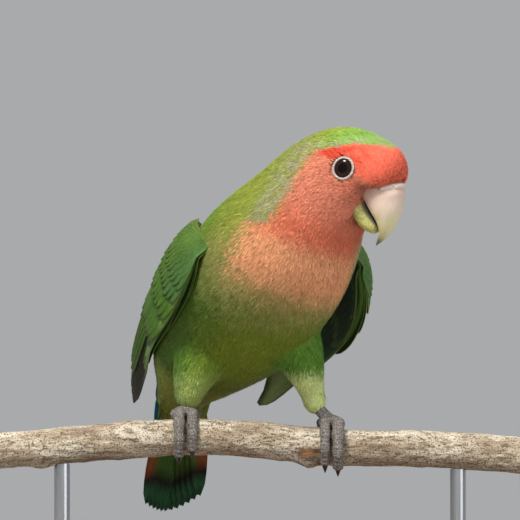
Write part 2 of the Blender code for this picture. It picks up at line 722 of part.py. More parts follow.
def build_tail():
    angles = np.linspace(0, 2 * np.pi, 20, endpoint=False)
    rings = []
    for place, wide, high in TAIL_CORE:
        middle, side, normal = tail_frame(place)
        rings.append(middle + np.outer(np.cos(angles) * high, normal) + np.outer(np.sin(angles) * wide, side))
    axes = section_axes(TORSO_FROM)
    limit = spline(BODY_SPINE, TORSO_FROM)[0][:3] - GAP * axes[0]
    rings[0] = rings[0] - np.outer((rings[0] - limit) @ axes[0], axes[0])
    tail = node("tail", *loft(rings), "flight_feathers")
    pieces = []
    last = len(TAIL_LINE) - 1
    for side in (-1, 1):
        for k in range(TAIL_VANES):
            part = (k + 0.5) / TAIL_VANES
            lift = 1.6 - TAIL_STEP * k - (0.4 if side < 0 else 0.0)
            end = last * (1 - TAIL_GRADUATION * part ** 1.5)
            offset = side * part * 5.6
            pieces.append(node("vane", *tail_vane(
                0.9, end, offset, side * part * TAIL_SPREAD * 0.55, lift * 0.5, lift, TAIL_VANE_WIDTH, 1.0), "flight_feathers", False))
    for count, end, lift, width in TAIL_COVERTS:
        for k in range(count):
            part = 2 * k / (count - 1) - 1
            sign = 1 if lift > 0 else -1
            height = lift - sign * 1.1 * abs(part) + 0.35 * k
            pieces.append(node("vane", *tail_vane(
                0.5, end - 0.25 * abs(part), part * 6.2, -part * 1.0, height * 0.6, height * 0.75, width, 0.8), "flight_feathers", False))
    combine(tail, pieces, "UNION")
    merge_flat(tail)


# Legs and feet

def perch_middle(x):
    row = np.array([p[0] for p in PERCH_LINE])
    low = int(np.clip(np.searchsorted(row, x) - 1, 0, len(row) - 2))
    part = (x - row[low]) / (row[low + 1] - row[low])
    return np.array([x, 0.0, spline(np.array(PERCH_LINE), low + part)[0][1]])


def perch_rings(grow=0.0, rows=34, count=14, reach=PERCH_HALF_LENGTH):
    angles = np.linspace(0, 2 * np.pi, count, endpoint=False)
    rings = []
    for x in np.linspace(-reach, reach, rows):
        middle = perch_middle(x)
        radius = PERCH_RADIUS + grow + 0.12 * np.sin(x * 0.11) + 0.08 * np.sin(x * 0.31 + 1.0)
        ring = []
        for angle in angles:
            bump = 0.0
            for place, turn, rise in PERCH_KNOTS:
                bump += rise * np.exp(-((x - place) / 3.2) ** 2) * max(np.cos(angle - np.pi - turn), 0) ** 4
            ring.append(middle + (radius + bump) * np.array([0.0, np.sin(angle), np.cos(angle)]))
        rings.append(np.array(ring))
    return rings


def perch_clear():
    return node("perch_clear", *loft(perch_rings(GAP, reach=PERCH_HALF_LENGTH + 1.0)), "bark")


def toe_line(toe, first, last, rows, lift=0.0):
    side, _, _, radius = toe
    reach = PERCH_RADIUS + GAP + radius + 0.25
    line = []
    for t, turn in zip(np.linspace(0, 1, rows), np.radians(np.linspace(first, last, rows))):
        middle = perch_middle(side)
        line.append(middle + (reach + lift * t ** 2) * np.array([0.0, -np.sin(turn), np.cos(turn)]))
    return np.array(line)


def toe_radii(toe, rows):
    t = np.linspace(0, 1, rows)
    swell = 1 + TOE_JOINT_RISE * (np.cos(t * 2 * np.pi * TOE_JOINTS) - 1) / 2
    return toe[3] * (1 + (TOE_TAPER - 1) * t) * swell


def build_foot(name, foot, leg, toes):
    pad_place = perch_middle(foot[0]) + (0, foot[1], PERCH_RADIUS + GAP + FOOT_PAD[2] - 0.5)
    pad = egg("foot_" + name, pad_place, np.eye(3), FOOT_PAD, "foot_skin", 16, 8)
    ankle = np.array(leg[-1][:3])
    line = [ankle + SHANK_INSIDE * unit(ankle - pad_place), (ankle + pad_place) / 2, pad_place]
    shank = node("shank", *tube(line, SHANK_RADII, 12, (0, 1, 0)), "foot_skin")
    combine(pad, [shank], "UNION")
    cuts = [perch_clear(), leg_solid("leg_clear", leg, GAP)]
    for i, toe in enumerate(toes):
        sign = np.sign(toe[1])
        line = toe_line(toe, toe[1], toe[2], TOE_ROWS)
        radii = toe_radii(toe, TOE_ROWS)
        toe_node = node("toe_%s_%d" % (name, i + 1), *tube(line, radii, 8, (1, 0, 0)), "foot_skin")
        early = toe_line(toe, toe[1] - sign * 2.2, toe[2], TOE_ROWS)
        cuts.append(node("toe_clear", *tube(early, radii + GAP, 10, (1, 0, 0)), "foot_skin"))
        combine(toe_node, [perch_clear()], "DIFFERENCE")
        claw_rows = 6
        start = toe[2] + sign * 2.4
        claw = toe_line(toe, start, start + sign * CLAW_TURN, claw_rows, CLAW_LIFT)
        radii = CLAW_RADIUS * np.array([0.9, 1.0, 0.85, 0.62, 0.36, 0.12])
        claw_node = node("claw_%s_%d" % (name, i + 1), *tube(claw, radii, 8, (1, 0, 0)), "claw_horn")
        claw_node.data.shade_smooth()
    combine(pad, cuts, "DIFFERENCE")


def leg_solid(name, table, grow=0.0):
    rows = spline(table, np.linspace(0, len(table) - 1, 11))
    line = rows[:, :3]
    line[-1] += grow * unit(line[-1] - line[-2])
    return node(name, *tube(line, rows[:, 3] + grow, 16, (0, 1, 0)), "plumage_green")


def build_leg(name, table):
    leg = leg_solid("leg_" + name, table)
    combine(leg, [torso_clear()], "DIFFERENCE")


# Stand

def build_stand():
    length, width, height = BASE_SIZE
    bpy.ops.mesh.primitive_cube_add(size=1.0, location=(0, 0, height * MM / 2))
    base = bpy.context.object
    base.name = "stand_base"
    base.scale = (length * MM, width * MM, height * MM)
    bpy.ops.object.transform_apply(scale=True)
    bevel = base.modifiers.new("edges", "BEVEL")
    bevel.width = BASE_BEVEL * MM
    bevel.segments = 3
    base.data.materials.append(material("stand_wood"))
    for name, side in (("left", 1), ("right", -1)):
        bottom = np.array([side * ROD_X, 0.0, height - PERCH_Z + GAP])
        top = perch_middle(side * ROD_X) - (0, 0, PERCH_RADIUS * 0.4)
        rod = node("stand_rod_" + name, *tube([bottom, top], [ROD_RADIUS] * 2, 20, (0, 1, 0)), "stand_steel")
        combine(rod, [perch_clear()], "DIFFERENCE")
    node("perch_branch", *loft(perch_rings()), "bark")


def main():
    for obj in list(bpy.data.objects):
        bpy.data.objects.remove(obj)
    head = build_body()
    build_eye(head, "right", -1)
    build_eye(head, "left", 1)
    build_bill(head)
    build_wing("right", WING_RIGHT_EDGE, WING_RIGHT_BACK, WING_RIGHT_OUT)
    build_wing("left", WING_LEFT_EDGE, WING_LEFT_BACK, WING_LEFT_OUT)
    build_tail()
    build_leg("right", LEG_RIGHT)
    build_leg("left", LEG_LEFT)
    build_foot("right", FOOT_RIGHT, LEG_RIGHT, TOES_RIGHT)
    build_foot("left", FOOT_LEFT, LEG_LEFT, TOES_LEFT)
    build_stand()


main()
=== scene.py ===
# Looks of a life-size peach-faced lovebird model, on a cut perch with a plain stand.
# Sizes in the dictionaries are millimetres from the middle of the perch.

import math

import bpy
import numpy as np
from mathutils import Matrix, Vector
from mathutils.bvhtree import BVHTree
from mathutils.kdtree import KDTree


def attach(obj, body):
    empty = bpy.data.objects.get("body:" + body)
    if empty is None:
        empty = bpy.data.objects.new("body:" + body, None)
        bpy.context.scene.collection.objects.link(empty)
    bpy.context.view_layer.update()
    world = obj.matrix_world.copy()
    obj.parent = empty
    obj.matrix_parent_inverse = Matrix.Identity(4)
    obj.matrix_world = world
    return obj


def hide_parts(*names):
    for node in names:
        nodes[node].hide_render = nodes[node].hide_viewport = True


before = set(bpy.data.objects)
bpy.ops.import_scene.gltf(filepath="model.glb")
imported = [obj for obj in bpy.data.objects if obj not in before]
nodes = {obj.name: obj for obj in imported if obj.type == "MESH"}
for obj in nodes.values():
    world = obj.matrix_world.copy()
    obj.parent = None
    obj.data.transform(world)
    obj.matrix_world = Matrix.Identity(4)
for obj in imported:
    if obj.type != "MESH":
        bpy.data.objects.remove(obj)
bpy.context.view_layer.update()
rng = np.random.default_rng(20)

world = {
    "perchY": -7.0,
    "perchZ": 50.0,
    "frameWidth": 157.6,  # millimetres across the picture at the bird
    "aimHeight": 54.5,
    "lens": 900.0,
    "sensor": 36.0,
    "sight": 20.0,  # metres
    "floorSize": 0.62,  # metres from the middle to the edge
    "floorDrop": -0.0002,
    "sky": (0.60, 0.61, 0.62),
    "skyStrength": 0.66,
    "lights": (  # name, place in metres, size, watts, colour
        ("key", (-0.30, -0.62, 0.92), 0.26, 16.0, (1.0, 0.96, 0.90)),
        ("fill", (0.75, -0.60, 0.30), 0.60, 3.0, (0.92, 0.96, 1.0)),
        ("back", (0.15, 0.50, 1.00), 0.40, 4.5, (1.0, 0.98, 0.95)),
    ),
    "lightsAim": (6.0, 0.0, 50.0),
}


perchSpot = np.array([0.0, world["perchY"], world["perchZ"]])


def place(points):  # in metres, from the middle of the base
    return (np.asarray(points, float) + perchSpot) * 0.001


def unit(vector):
    vector = np.asarray(vector, float)
    return vector / np.maximum(np.linalg.norm(vector, axis=-1, keepdims=True), 1e-12)


def dot(a, b):
    return np.sum(a * b, axis=-1, keepdims=True)


def soft(x, low, high):
    t = np.clip((x - low) / (high - low), 0, 1)
    return t * t * (3 - 2 * t)


def mix(a, b, part):
    part = np.asarray(part, float)
    return np.asarray(a) * (1 - part) + np.asarray(b) * part


def tint(colour, other, part):  # mixes rows of colours, each row by its own part
    return mix(colour, other, np.asarray(part, float)[..., None])


def spline(table, places):  # a smooth curve through the rows of a table
    table = np.asarray(table, float)
    places = np.atleast_1d(np.asarray(places, float))
    padded = np.vstack([2 * table[0] - table[1], table, 2 * table[-1] - table[-2]])
    low = np.clip(np.floor(places).astype(int), 0, len(table) - 2)
    t = (places - low)[:, None]
    a, b, c, d = (padded[low + k] for k in range(4))
    square, cube = 2 * a - 5 * b + 4 * c - d, 3 * b - a - 3 * c + d
    return 0.5 * (2 * b + (c - a) * t + square * t ** 2 + cube * t ** 3)


def slope(table, places, step=0.02):
    places = np.atleast_1d(np.asarray(places, float))
    return unit((spline(table, places + step) - spline(table, places - step))[:, :3])


def axesFrom(forward, up):
    forward = unit(forward)
    left = unit(np.cross(up, forward))
    return np.array([forward, left, np.cross(forward, left)])


def circle(count):
    return np.linspace(0, 2 * np.pi, count, endpoint=False)


def linear(red, green, blue):  # a screen colour from 0 to 255, as light
    value = np.array([red, green, blue], float) / 255
    return np.where(value <= 0.04045, value / 12.92, ((value + 0.055) / 1.055) ** 2.4)


waveDirections = unit(rng.normal(size=(10, 3)))
wavePhases = rng.uniform(0, 2 * np.pi, 10)
waveSizes = rng.uniform(0.6, 1.6, 10)


def ripple(points, size):  # smooth irregular values from about -1 to 1
    turns = (points @ waveDirections.T) * (2 * np.pi / size) * waveSizes + wavePhases
    return np.sin(turns + 1.7 * np.sin(turns[..., ::-1] * 0.63)).mean(axis=-1) * 2.2


# Shader helpers

class Wire:  # one socket, so that shader maths reads as plain sums
    def __init__(self, paint, socket):
        self.paint = paint
        self.socket = socket

    def sum(self, operation, first, second):
        return self.paint.add("ShaderNodeMath", {"operation": operation}, {0: first, 1: second})

    def __add__(self, other):
        return self.sum("ADD", self, other)

    def __radd__(self, other):
        return self.sum("ADD", other, self)

    def __sub__(self, other):
        return self.sum("SUBTRACT", self, other)

    def __rsub__(self, other):
        return self.sum("SUBTRACT", other, self)

    def __mul__(self, other):
        return self.sum("MULTIPLY", self, other)

    def __rmul__(self, other):
        return self.sum("MULTIPLY", other, self)


class Paint:  # one material and the nodes behind it
    def __init__(self, name, **fixed):
        self.material = bpy.data.materials.new(name)
        self.material.use_nodes = True
        self.tree = self.material.node_tree
        self.shader = self.tree.nodes["Principled BSDF"]
        for socket, value in fixed.items():
            self.shader.inputs[socket.replace("_", " ")].default_value = value

    def add(self, kind, settings=None, values=None, output=0):
        node = self.tree.nodes.new(kind)
        for name, value in (settings or {}).items():
            if name == "stops":
                ramp = node.color_ramp
                while len(ramp.elements) < len(value):
                    ramp.elements.new(0.5)
                for element, (position, colour) in zip(ramp.elements, value):
                    element.position = position
                    element.color = (*colour, 1.0)
            else:
                setattr(node, name, value)
        for key, value in (values or {}).items():
            if isinstance(value, Wire):
                self.tree.links.new(value.socket, node.inputs[key])
            elif value is not None:
                node.inputs[key].default_value = value
        return Wire(self, node.outputs[output])

    def attribute(self, name, output="Color"):
        return self.add("ShaderNodeAttribute", {"attribute_name": name}, output=output)

    def parts(self, vector):
        return [self.add("ShaderNodeSeparateXYZ", values={0: vector}, output=i) for i in range(3)]

    def coordinates(self, stretch=None):
        where = self.add("ShaderNodeTexCoord", output="Object")
        if stretch is None:
            return where
        return self.add("ShaderNodeVectorMath", {"operation": "MULTIPLY"}, {0: where, 1: stretch})

    def noise(self, scale, detail=3.0, stretch=None, roughness=0.5):
        where = self.coordinates(stretch)
        values = {"Vector": where, "Scale": scale, "Detail": detail, "Roughness": roughness}
        return self.add("ShaderNodeTexNoise", None, values)

    def cells(self, scale, stretch=None):
        return self.add("ShaderNodeTexVoronoi", None, {"Vector": self.coordinates(stretch), "Scale": scale})

    def ramp(self, factor, stops):
        return self.add("ShaderNodeValToRGB", {"stops": stops}, {0: factor})

    def range(self, value, low, high, toLow=0.0, toHigh=1.0):
        return self.add("ShaderNodeMapRange", None, {0: value, 1: low, 2: high, 3: toLow, 4: toHigh})

    def blend(self, factor, first, second, kind="MIX"):
        values = {0: factor, 6: first, 7: second}  # the factor and the two colours
        for key in (6, 7):
            if not isinstance(values[key], Wire):
                values[key] = (*values[key], 1.0)
        return self.add("ShaderNodeMix", {"data_type": "RGBA", "blend_type": kind}, values, 2)

    def use(self, **links):
        for socket, wire in links.items():
            self.tree.links.new(wire.socket, self.shader.inputs[socket.replace("_", " ")])
        return self.material

    def bump(self, height, distance):
        return self.add("ShaderNodeBump", None, {"Height": height, "Distance": distance, "Strength": 1.0})


# Mesh helpers

def meshPiece(name, points, faces, material, colours=None, vanes=None, patches=None):
    faces = np.asarray(faces, int)
    sides = faces.shape[1]
    mesh = bpy.data.meshes.new(name)
    mesh.vertices.add(len(points))
    mesh.vertices.foreach_set("co", place(points).astype(np.float32).ravel())
    mesh.loops.add(faces.size)
    mesh.loops.foreach_set("vertex_index", faces.ravel().astype(np.int32))
    mesh.polygons.add(len(faces))
    mesh.polygons.foreach_set("loop_start", np.arange(0, faces.size, sides, dtype=np.int32))
    mesh.update(calc_edges=True)
    for title, values in (("plumage", colours), ("vane", vanes)):
        if values is not None:
            full = np.zeros((len(points), 4), np.float32)
            full[:, :values.shape[1]] = values
            full[:, 3] = 1.0
            mesh.color_attributes.new(title, "FLOAT_COLOR", "POINT").data.foreach_set("color", full.ravel())
    if patches is not None:
        layer = mesh.uv_layers.new(name="OFBake")
        layer.data.foreach_set("uv", patches[faces.ravel()].astype(np.float32).ravel())
    mesh.materials.append(material)
    mesh.shade_smooth()
    obj = bpy.data.objects.new(name, mesh)
    bpy.context.scene.collection.objects.link(obj)
    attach(obj, "root")
    return obj


def dress(obj, material):
    obj.data.materials.clear()
    obj.data.materials.append(material)


def meshPoints(mesh):
    points = np.empty(len(mesh.vertices) * 3)
    mesh.vertices.foreach_get("co", points)
    return points.reshape(-1, 3)


def triangles(mesh, corner="vertices"):
    mesh.calc_loop_triangles()
    return np.array([getattr(triangle, corner) for triangle in mesh.loop_triangles])


def closedPiece(name, points, faces, material, replaced=None, **layers):  # its faces point outward
    obj = meshPiece(name, points, faces, material, **layers)
    corners = meshPoints(obj.data)[triangles(obj.data)]
    if np.sum(dot(corners[:, 0], np.cross(corners[:, 1], corners[:, 2]))) < 0:
        obj.data.flip_normals()
    if replaced:
        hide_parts(replaced)
    return obj


def gridFaces(rows, columns, closed=False):
    i = np.arange(rows - 1)[:, None]
    j = np.arange(columns if closed else columns - 1)[None, :]
    k = (j + 1) % columns
    corners = (i * columns + j, i * columns + k, (i + 1) * columns + k, (i + 1) * columns + j)
    return np.stack(corners, axis=-1).reshape(-1, 4)


def ringLoft(rings, tips=(None, None)):  # triangles through rings, closed at both ends
    rings = np.asarray(rings, float)
    rows, count = rings.shape[:2]
    quads = gridFaces(rows, count, True)
    ends = [ring.mean(axis=0) if tip is None else tip for ring, tip in zip(rings[[0, -1]], tips)]
    i = np.arange(count)
    j = (i + 1) % count
    last = (rows - 1) * count
    low = np.stack([np.full(count, rows * count), j, i], axis=1)
    high = np.stack([np.full(count, rows * count + 1), last + i, last + j], axis=1)
    faces = np.vstack([quads[:, [0, 1, 2]], quads[:, [0, 2, 3]], low, high])
    return np.vstack([rings.reshape(-1, 3), ends]), faces


def tubeRings(line, radii, count, up):
    line = np.asarray(line, float)
    angles = circle(count)
    rings = []
    for middle, forward, radius in zip(line, unit(np.gradient(line, axis=0)), radii):
        _, side, high = axesFrom(forward, up)
        rings.append(middle + radius * (np.outer(np.cos(angles), high) + np.outer(np.sin(angles), side)))
    return np.array(rings)


# The body form: a chain of masses run together, with the thighs and the tail base

body = {
    "spine": (  # place, half width and half height from the rump to the forehead
        (-21.5, 33.5, 18.5, 9.8, 8.5), (-15.2, 23.0, 28.5, 17.0, 15.0), (-6.2, 9.4, 39.0, 22.5, 20.0),
        (1.6, -4.8, 51.2, 23.4, 22.0), (9.3, -12.8, 61.4, 20.8, 19.0), (15.2, -16.9, 71.2, 16.0, 15.6),
        (21.4, -19.5, 78.6, 13.8, 13.8), (29.4, -22.3, 80.9, 12.8, 11.0), (37.8, -26.4, 81.3, 8.2, 6.8),
    ),
    "ahead": (0.279, -0.810, 0.515),
    "up": (-0.17, 0.50, 0.857),
    "headUp": (0.387, -0.206, 0.899),
    "masses": 34,
    "massLength": 0.8,
    "blend": 4.0,
    "legBlend": 2.5,
    "legs": (  # place and half width from the thigh down, the right leg first
        ((-14.5, 5.0, 32.0, 9.4), (-18.2, 3.6, 24.5, 7.6), (-20.6, 1.8, 18.0, 5.2),
         (-21.7, 0.8, 13.6, 3.4), (-22.0, 0.5, 12.0, 2.3)),
        ((8.5, 5.0, 33.0, 9.0), (12.2, 3.8, 25.5, 6.9), (14.7, 2.4, 18.2, 4.4),
         (16.4, 1.4, 12.2, 2.9), (16.9, 1.1, 10.4, 2.1)),
    ),
    "legMasses": 8,
    "tail": (  # place along the tail, half width, half height
        (0.2, 9.2, 7.6), (0.6, 9.0, 6.2), (1.0, 8.2, 4.6), (1.4, 7.0, 3.0),
    ),
    "tailMass": 5.0,
}
head = {
    "middle": (28.0, -21.0, 80.0),
    "yaw": 62.0,
    "pitch": -26.0,
    "masses": (((2.0, -8.0, 0.0), (6.8, 10.2, 8.6)), ((-2.0, 0.6, 0.0), (12.5, 13.4, 11.6))),
    "billBase": (16.5, -3.0),
}
tail = {
    "line": (
        (-21.6, 33.6, 18.4), (-23.4, 39.0, 12.0), (-25.0, 46.5, 2.5),
        (-26.6, 57.0, -11.0), (-28.0, 66.5, -23.5),
    ),
    "side": (0.93, 0.33, 0.12),
}

yaw, pitch = math.radians(head["yaw"]), math.radians(head["pitch"])
gaze = (math.cos(pitch) * math.sin(yaw), -math.cos(pitch) * math.cos(yaw), math.sin(pitch))
headAxes = axesFrom(gaze, (0, 0, 1))
headMiddle = np.array(head["middle"])
bodyAxes = axesFrom(body["ahead"], body["up"])


def inHead(forward, up, left=0.0):
    return headMiddle + forward * headAxes[0] + left * headAxes[1] + up * headAxes[2]


def spineUp(at):
    part = np.clip((at - 3.5) / 2.5, 0, 1)
    return unit(np.array(body["up"]) * (1 - part) + np.array(body["headUp"]) * part)


def tailFrame(at):
    middle = spline(tail["line"], at)[0]
    ahead = slope(tail["line"], at)[0]
    side = unit(np.array(tail["side"]) - np.dot(tail["side"], ahead) * ahead)
    normal = np.cross(ahead, side)
    return middle, ahead, side, normal if normal[1] > 0 else -normal


def gatherMasses():  # middle, axes, sizes, blend and the lie of the feathers over it
    found = []
    for at in np.linspace(0, len(body["spine"]) - 1, body["masses"]):
        row = spline(body["spine"], at)[0]
        axes = axesFrom(slope(body["spine"], at)[0], spineUp(at))
        sizes = np.array([body["massLength"] * min(row[3], row[4]), row[3], row[4]])
        found.append((row[:3], axes, sizes, body["blend"], -axes[0]))
    for (forward, up, left), sizes in head["masses"]:
        found.append((inHead(forward, up, left), headAxes, np.array(sizes), body["blend"], -headAxes[0]))
    for leg in body["legs"]:
        for at in np.linspace(0.4, len(leg) - 1.2, body["legMasses"]):
            row = spline(leg, at)[0]
            along = slope(leg, at)[0]
            found.append((row[:3], axesFrom(along, (0, 1, 0)), np.full(3, row[3]), body["legBlend"], along))
    for at, wide, high in body["tail"]:
        middle, *axes = tailFrame(at)
        sizes = np.array([body["tailMass"], wide, high])
        found.append((middle, np.array(axes), sizes, body["legBlend"], axes[0]))
    return found


masses = gatherMasses()


def depth(points):  # distance outside the plumage, negative inside
    total = None
    for middle, axes, sizes, blend, lie in masses:
        local = (points - middle) @ axes.T
        first = np.linalg.norm(local / sizes, axis=-1)
        second = np.linalg.norm(local / sizes ** 2, axis=-1)
        near = first * (first - 1) / np.maximum(second, 1e-9)
        if total is None:
            total = near
            continue
        part = np.clip(0.5 + 0.5 * (near - total) / blend, 0, 1)
        total = near * (1 - part) + total * part - blend * part * (1 - part)
    return total


def outward(points, step=0.25):
    sides = []
    for i in range(3):
        move = np.zeros(3)
        move[i] = step
        sides.append(depth(points + move) - depth(points - move))
    return unit(np.stack(sides, axis=-1))


def onForm(points, level, passes=2):  # moves points to this height over the form
    for _ in range(passes):
        out = outward(points)
        points = points - out * (depth(points) - level)[:, None]
    return points, out


def lieAt(points, normals):  # the way the feathers point, along the surface
    total = np.zeros_like(points)
    for middle, axes, sizes, blend, lie in masses:
        near = np.linalg.norm((points - middle) / max(sizes), axis=-1)
        total += np.exp(-(near * 1.5) ** 2)[:, None] * lie
    fromBill = points - inHead(*head["billBase"])
    lie = tint(unit(fromBill), unit(total), soft(np.linalg.norm(fromBill, axis=-1), 9, 26))
    return unit(lie - dot(lie, normals) * normals)


def legDistance(points, leg):  # from the middle of a leg, below the top of its thigh
    return np.min(np.linalg.norm(points[:, None] - np.array(leg)[1:, :3], axis=-1), axis=1)


# Markings

marks = {
    "crown": linear(126, 174, 64),
    "nape": linear(138, 150, 58),
    "back": linear(104, 138, 44),
    # painted shade: a darker green where the body's sides face outward, under the wings
    "flankShade": linear(78, 106, 34),
    "side": linear(132, 136, 74),
    "belly": linear(118, 134, 42),
    "vent": linear(134, 146, 62),
    "rump": linear(40, 126, 190),
    "forehead": linear(226, 108, 84),
    "brow": linear(212, 74, 52),
    "cheek": linear(216, 130, 104),
    "throat": linear(210, 112, 84),
    "bib": linear(230, 160, 116),
    "bibLow": linear(192, 152, 100),
    "lores": linear(168, 84, 64),
    "greyBand": linear(158, 156, 126),
    "thigh": linear(84, 142, 52),
    # painted light: the pale tone of the lower legs where light falls on them
    "shank": linear(214, 226, 150),
    # lower edges of the green crown and of the red brow, forward and up from the middle of the head
    "crownLine": (
        (-14, -7, -4, -0.4, 2.8, 6.2, 9.7, 13, 20),
        (2.6, 4.9, 7.2, 9.6, 11.5, 12.8, 13.6, 13.8, 13.8),
    ),
    "browLine": ((-8, -6, -3.3, -1, 6.4, 8.3, 10.8, 13, 20), (4.4, 3.8, 4.5, 4.6, 4.2, 3.2, 2.6, 2.2, 2.0)),
    "cheekBack": -8.5,
    "bandBack": -14.5,
    "bibBack": -15.5,
    "bibEnd": -42.0,
    "bibLeft": 17.0,
    "legTones": ((0.30, 24, 11), (1.0, 22, 5)),  # strength, top and fade of the painted light on the shanks, much stronger on the left; the strength also scales the thigh tone
}


def painted(colour, *layers):  # lays the named markings over each other
    for name, part in layers:
        colour = tint(colour, marks[name], part)
    return colour


def plumageAt(points, normals, grain=0.0):  # grain mottles the edges of each marking
    rough = ripple(points, 5.0)
    forward, _, up = ((points - headMiddle) @ headAxes.T).T
    forward = forward + 0.5 * rough
    up = up + 0.4 * ripple(points + 40, 4.0)
    along = points @ bodyAxes[0]
    aside = (points - np.array(body["spine"][4][:3])) @ bodyAxes[1]
    rise = normals @ bodyAxes[2]
    out = np.abs(normals @ bodyAxes[1])
    crownLine = np.interp(forward, *marks["crownLine"])
    browLine = np.interp(forward, *marks["browLine"])
    bandBack, bibEnd, bibLeft = marks["bandBack"], marks["bibEnd"], marks["bibLeft"]

    # the green parts, with painted shade on the outward-facing sides, and the greyish band behind the cheek
    band = soft(forward + 2 * grain, bandBack - 5, bandBack + 3) * soft(crownLine + 2 - up + grain, -3, 3)
    colour = painted(
        marks["belly"],
        # painted shade on the sides that face outward
        ("flankShade", soft(out + 0.08 * rough, 0.35, 0.9)),
        ("side", soft(along + 4 * rough, 26, 44) * soft(rise, 0.5, 0.0)),
        ("back", soft(rise + 0.1 * rough, 0.0, 0.55)),
        ("nape", soft(along, 38, 56) * soft(rise, -0.5, 0.2)),
        ("crown", soft(forward + grain, -13, 1) * soft(up - crownLine, -1, 1) * soft(along, 52, 62)),
        ("greyBand", 0.9 * band * soft(up, -32, -18) * soft(ripple(points + 90, 6.0) + 2 * grain, -1.1, 0.3)))

    # the peach face and bib
    bibBack = mix(marks["cheekBack"], marks["bibBack"], soft(-up, 19, 25))
    wide = 1.6 + 2.4 * soft(-up, 16, 28)
    pink = soft((forward - bibBack + 1.6 * grain * wide) / wide, -1, 1) * soft(crownLine - up, -0.6, 0.6)
    pink *= soft(up + 1.4 * ripple(points, 7) + 4 * grain, bibEnd - 7, bibEnd + 9)
    pink *= 1 - soft(aside + 2 * grain, bibLeft - 3, bibLeft + 3) * soft(-up, 14, 22)
    dusk = soft(forward + grain, 3.5, 8) * soft(up, -5.5, 0.5) * (1 - soft(up, 2, 4.5))
    peach = painted(marks["cheek"], ("throat", soft(-up, 8, 19)), ("bib", soft(-up, 19, 27)),
                    ("bibLow", soft(-up, 33, 45)), ("lores", 0.45 * dusk))
    colour = tint(colour, peach, pink)

    # the red forehead, the rump and the legs, with painted light on the shanks
    red = soft(up - browLine + 0.4 * grain, -0.7, 0.7) * soft(crownLine - up - 0.2 * grain, -0.5, 0.5)
    redTone = painted(marks["brow"], ("forehead", soft(forward + 3 * rough, -3, 9)))
    colour = tint(colour, redTone, red * soft(forward + grain, -8, -5))
    colour = painted(colour, ("rump", soft(-along, 4, 14) * soft(rise, 0.25, 0.6)),
                     ("vent", soft(-along, 6, 16) * soft(-rise, -0.1, 0.4)))
    for leg, (strength, top, fade) in zip(body["legs"], marks["legTones"]):
        near = legDistance(points, leg)
        thigh = soft(36 - points[:, 2] + 2 * grain, 0, 9) * (1 - soft(near, 8, 12))
        # painted light on the lower leg, a pale tone strongest on the left leg
        shank = soft(top - points[:, 2] + 2 * grain, 0, fade) * (1 - soft(near, 7, 11))
        colour = painted(colour, ("thigh", 0.7 * strength * thigh), ("shank", strength * shank))
    return colour


# Bill and eyes

bill = {
    "upper": (  # top forward and up, bottom forward and up, half width
        (12.5, 6.0, 4.0, -2.0, 6.6), (16.9, 3.6, 7.9, -3.8, 6.9), (18.4, 0.2, 9.9, -5.2, 6.4),
        (19.3, -3.1, 12.0, -6.8, 5.5), (19.4, -6.7, 13.9, -8.1, 4.3), (18.9, -10.2, 15.5, -9.8, 3.0),
        (18.2, -12.4, 16.2, -11.7, 1.9), (17.3, -14.2, 16.2, -13.5, 1.0),
    ),
    "upperTip": (16.3, -15.7),
    "lower": (
        (3.0, -1.4, 3.0, -10.5, 6.2), (7.3, -3.2, 7.6, -11.4, 6.3), (10.0, -5.6, 9.8, -12.5, 5.6),
        (12.5, -7.7, 12.2, -12.9, 4.4), (14.5, -9.4, 14.1, -12.7, 2.9),
    ),
    "lowerTip": (15.6, -11.0),
    "narrower": {"upper": 0.12, "lower": -0.04},  # at the top than at the bottom
    "mouthSide": {"upper": -1, "lower": 1},
    "cereRow": 0.75,
    "cereRadius": 0.95,
    "cereSpan": 1.25,
    "nostril": 0.62,
    "nostrilDepth": 0.75,
    "nostrilRadius": 0.55,
    "rows": 56,
    "points": 40,
}
eye = {
    "forward": 3.0,
    "up": 3.8,
    "radius": 3.1,
    "sink": 2.75,
    "back": 2.6,
    "ring": 3.25,
    "thick": 0.38,
    "rise": 2.25,
    "narrow": 0.93,
    "rim": 2.0,
    "dome": 1.1,
    "points": 40,
    "ringPoints": (96, 14),
}


def billPiece(half, material):
    table = bill[half]
    at = np.linspace(0, len(table) - 1, bill["rows"])
    rise, side = np.cos(circle(bill["points"])), np.sin(circle(bill["points"]))
    square = np.where(rise * bill["mouthSide"][half] > 0, 0.5, 1.0)
    side = np.sign(side) * np.abs(side) ** square
    rings = []
    for row in spline(table, at):
        top, bottom = inHead(*row[:2]), inHead(*row[2:4])
        wide = side * (row[4] * (1.0 - bill["narrower"][half] * rise))
        rings.append((top + bottom) / 2 + np.outer(rise, (top - bottom) / 2) + np.outer(wide, headAxes[1]))
    points, faces = ringLoft(rings, (None, inHead(*bill[half + "Tip"])))
    along = np.append(np.repeat(at / (len(table) - 1), bill["points"]), (0, 1))
    over = np.append(np.tile(rise * 0.5 + 0.5, len(at)), (0.5, 0.5))
    vanes = np.column_stack([along, over])
    return closedPiece("bill_%s_horn" % half, points, faces, material, "bill_" + half, vanes=vanes)


